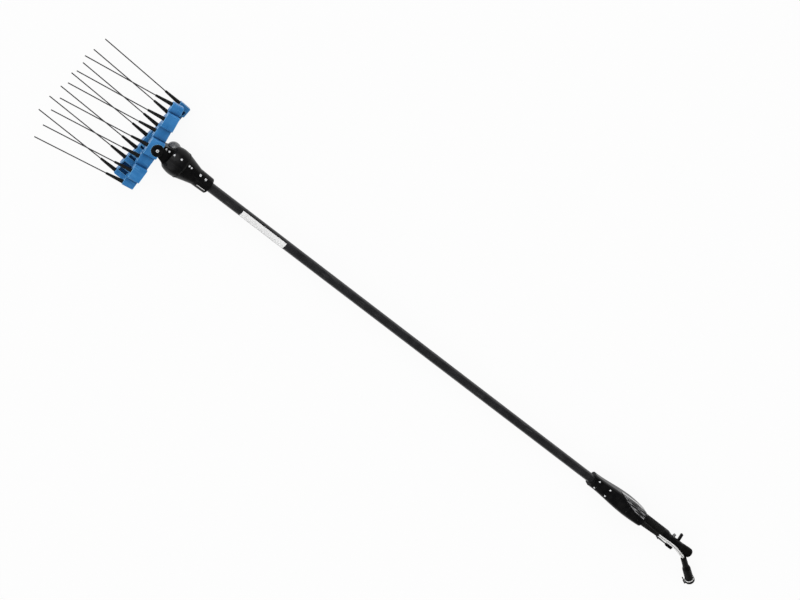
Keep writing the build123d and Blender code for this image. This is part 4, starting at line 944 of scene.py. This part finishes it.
def highlight_strip_seat():
    """Where the strip's box goes, from the origin to its side of the collar."""
    middle = STRIP_FROM_END + STRIP_LENGTH / 2
    rise = COLLAR_RADIUS + COLLAR_TAPER * middle + STRIP_PROUD - STRIP_DEPTH / 2
    collar_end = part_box("head_rear_housing")[1][0]
    axis = Matrix.Translation((collar_end - middle, 0.0, AXIS_HEIGHT))
    turn = Matrix.Rotation(STRIP_TURN, 4, "X")
    seat = Matrix.Translation((0.0, 0.0, rise)) @ Matrix.Rotation(atan(COLLAR_TAPER), 4, "Y")
    return axis @ turn @ seat


# The pale strip is a painted highlight in the form of a thin piece.
def make_highlight_strip():
    shape = bmesh.new()
    bmesh.ops.create_cube(shape, size=1.0)
    bmesh.ops.scale(shape, verts=shape.verts, vec=(STRIP_LENGTH, STRIP_WIDTH, STRIP_DEPTH))
    bmesh.ops.bevel(shape, geom=shape.edges, offset=STRIP_RIM, segments=STRIP_RIM_STEPS,
                    profile=ROUND_PROFILE, affect="EDGES")
    bmesh.ops.transform(shape, verts=shape.verts, matrix=highlight_strip_seat())
    mesh = bpy.data.meshes.new("collar_highlight_strip")
    shape.to_mesh(mesh)
    shape.free()
    strip = add_object("collar_highlight_strip", mesh)
    set_finish(strip, "seal_pale")
    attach(strip, "frame")
    return strip


print("strip with", len(make_highlight_strip().data.polygons), "faces")

# %% [markdown]
# The floor. The photograph is lit evenly on a white surface with hardly a shadow. The floor looks white to
# the camera and in mirrors: the Light Path node tells those rays from the rays that carry light, so the
# white adds no light to the tool.

# %% Floor
FLOOR_HALF = 30.0
FLOOR_COLOUR = (0.82, 0.82, 0.82, 1.0)
FLOOR_ROUGHNESS = 0.9
FLOOR_GLOW = 0.93


def seen_rays(tree):
    """Factor that is 1 for rays from the camera, off mirrors and through glass."""
    path = tree.nodes.new("ShaderNodeLightPath")
    seen = compute(tree, "ADD", path.outputs["Is Camera Ray"], path.outputs["Is Glossy Ray"])
    return compute(tree, "MINIMUM", compute(tree, "ADD", seen, path.outputs["Is Transmission Ray"]), 1.0)


def make_floor_finish():
    material, tree, shader = start_material("studio_white")
    shader.inputs["Base Color"].default_value = FLOOR_COLOUR
    shader.inputs["Roughness"].default_value = FLOOR_ROUGHNESS
    glow = add_node(tree, "ShaderNodeEmission", Strength=1.0)
    mix = add_node(tree, "ShaderNodeMixShader")
    feed(tree, compute(tree, "MULTIPLY", seen_rays(tree), FLOOR_GLOW), mix.inputs["Fac"])
    feed(tree, shader.outputs["BSDF"], mix.inputs[1])
    feed(tree, glow.outputs["Emission"], mix.inputs[2])
    feed(tree, mix.outputs["Shader"], tree.nodes["Material Output"].inputs["Surface"])
    return material


def make_floor():
    half = FLOOR_HALF
    corners = [(-half, -half, 0), (half, -half, 0), (half, half, 0), (-half, half, 0)]
    mesh = bpy.data.meshes.new("studio_floor")
    mesh.from_pydata(corners, [], [(0, 1, 2, 3)])
    mesh.materials.append(make_floor_finish())
    floor = add_object("studio_floor", mesh)
    return floor


print("floor", make_floor().name, "of", 2 * FLOOR_HALF, "metres")

# %% [markdown]
# Room and lamps. The room above is dim, because a black moulding mirrors it, and turns pale towards the
# horizon. Two far soft lamps shine from the comb end, one on each side. From there a round form along the
# pole shows no hard line of light, and the far ends of the tool are lit alike.

# %% Room and lamps
ROOM_LIGHT = 0.10
HORIZON_LIGHT = 0.55
HORIZON_HEIGHT = 0.2
ROOM_COLOUR = (1.0, 1.0, 1.0, 1.0)
LAMP_SPREAD = 1.3
LAMPS = {
    "key_lamp": ((-0.62, 0.50, 0.62), 2.7),
    "fill_lamp": ((-0.45, -0.70, 0.55), 1.7),
}


def make_world():
    world = bpy.data.worlds.new("studio_world")
    world.use_nodes = True
    tree = world.node_tree
    way = add_node(tree, "ShaderNodeTexCoord")
    split = add_node(tree, "ShaderNodeSeparateXYZ")
    feed(tree, way.outputs["Generated"], split.inputs["Vector"])
    light = remap(tree, split.outputs["Z"], (0.0, HORIZON_HEIGHT), (HORIZON_LIGHT, ROOM_LIGHT))
    background = tree.nodes["Background"]
    background.inputs["Color"].default_value = ROOM_COLOUR
    feed(tree, light, background.inputs["Strength"])
    scene.world = world


def make_lamp(name, way, light):
    """Far soft lamp; way points from the tool to the lamp."""
    data = bpy.data.lights.new(name, "SUN")
    data.energy = light
    data.angle = LAMP_SPREAD
    lamp = add_object(name, data)
    lamp.rotation_euler = Vector(way).to_track_quat("Z", "Y").to_euler()


make_world()
for lamp_name, (lamp_way, lamp_light) in LAMPS.items():
    make_lamp(lamp_name, lamp_way, lamp_light)
scene.view_settings.view_transform = "Standard"
print("studio with", len(LAMPS), "lamps")
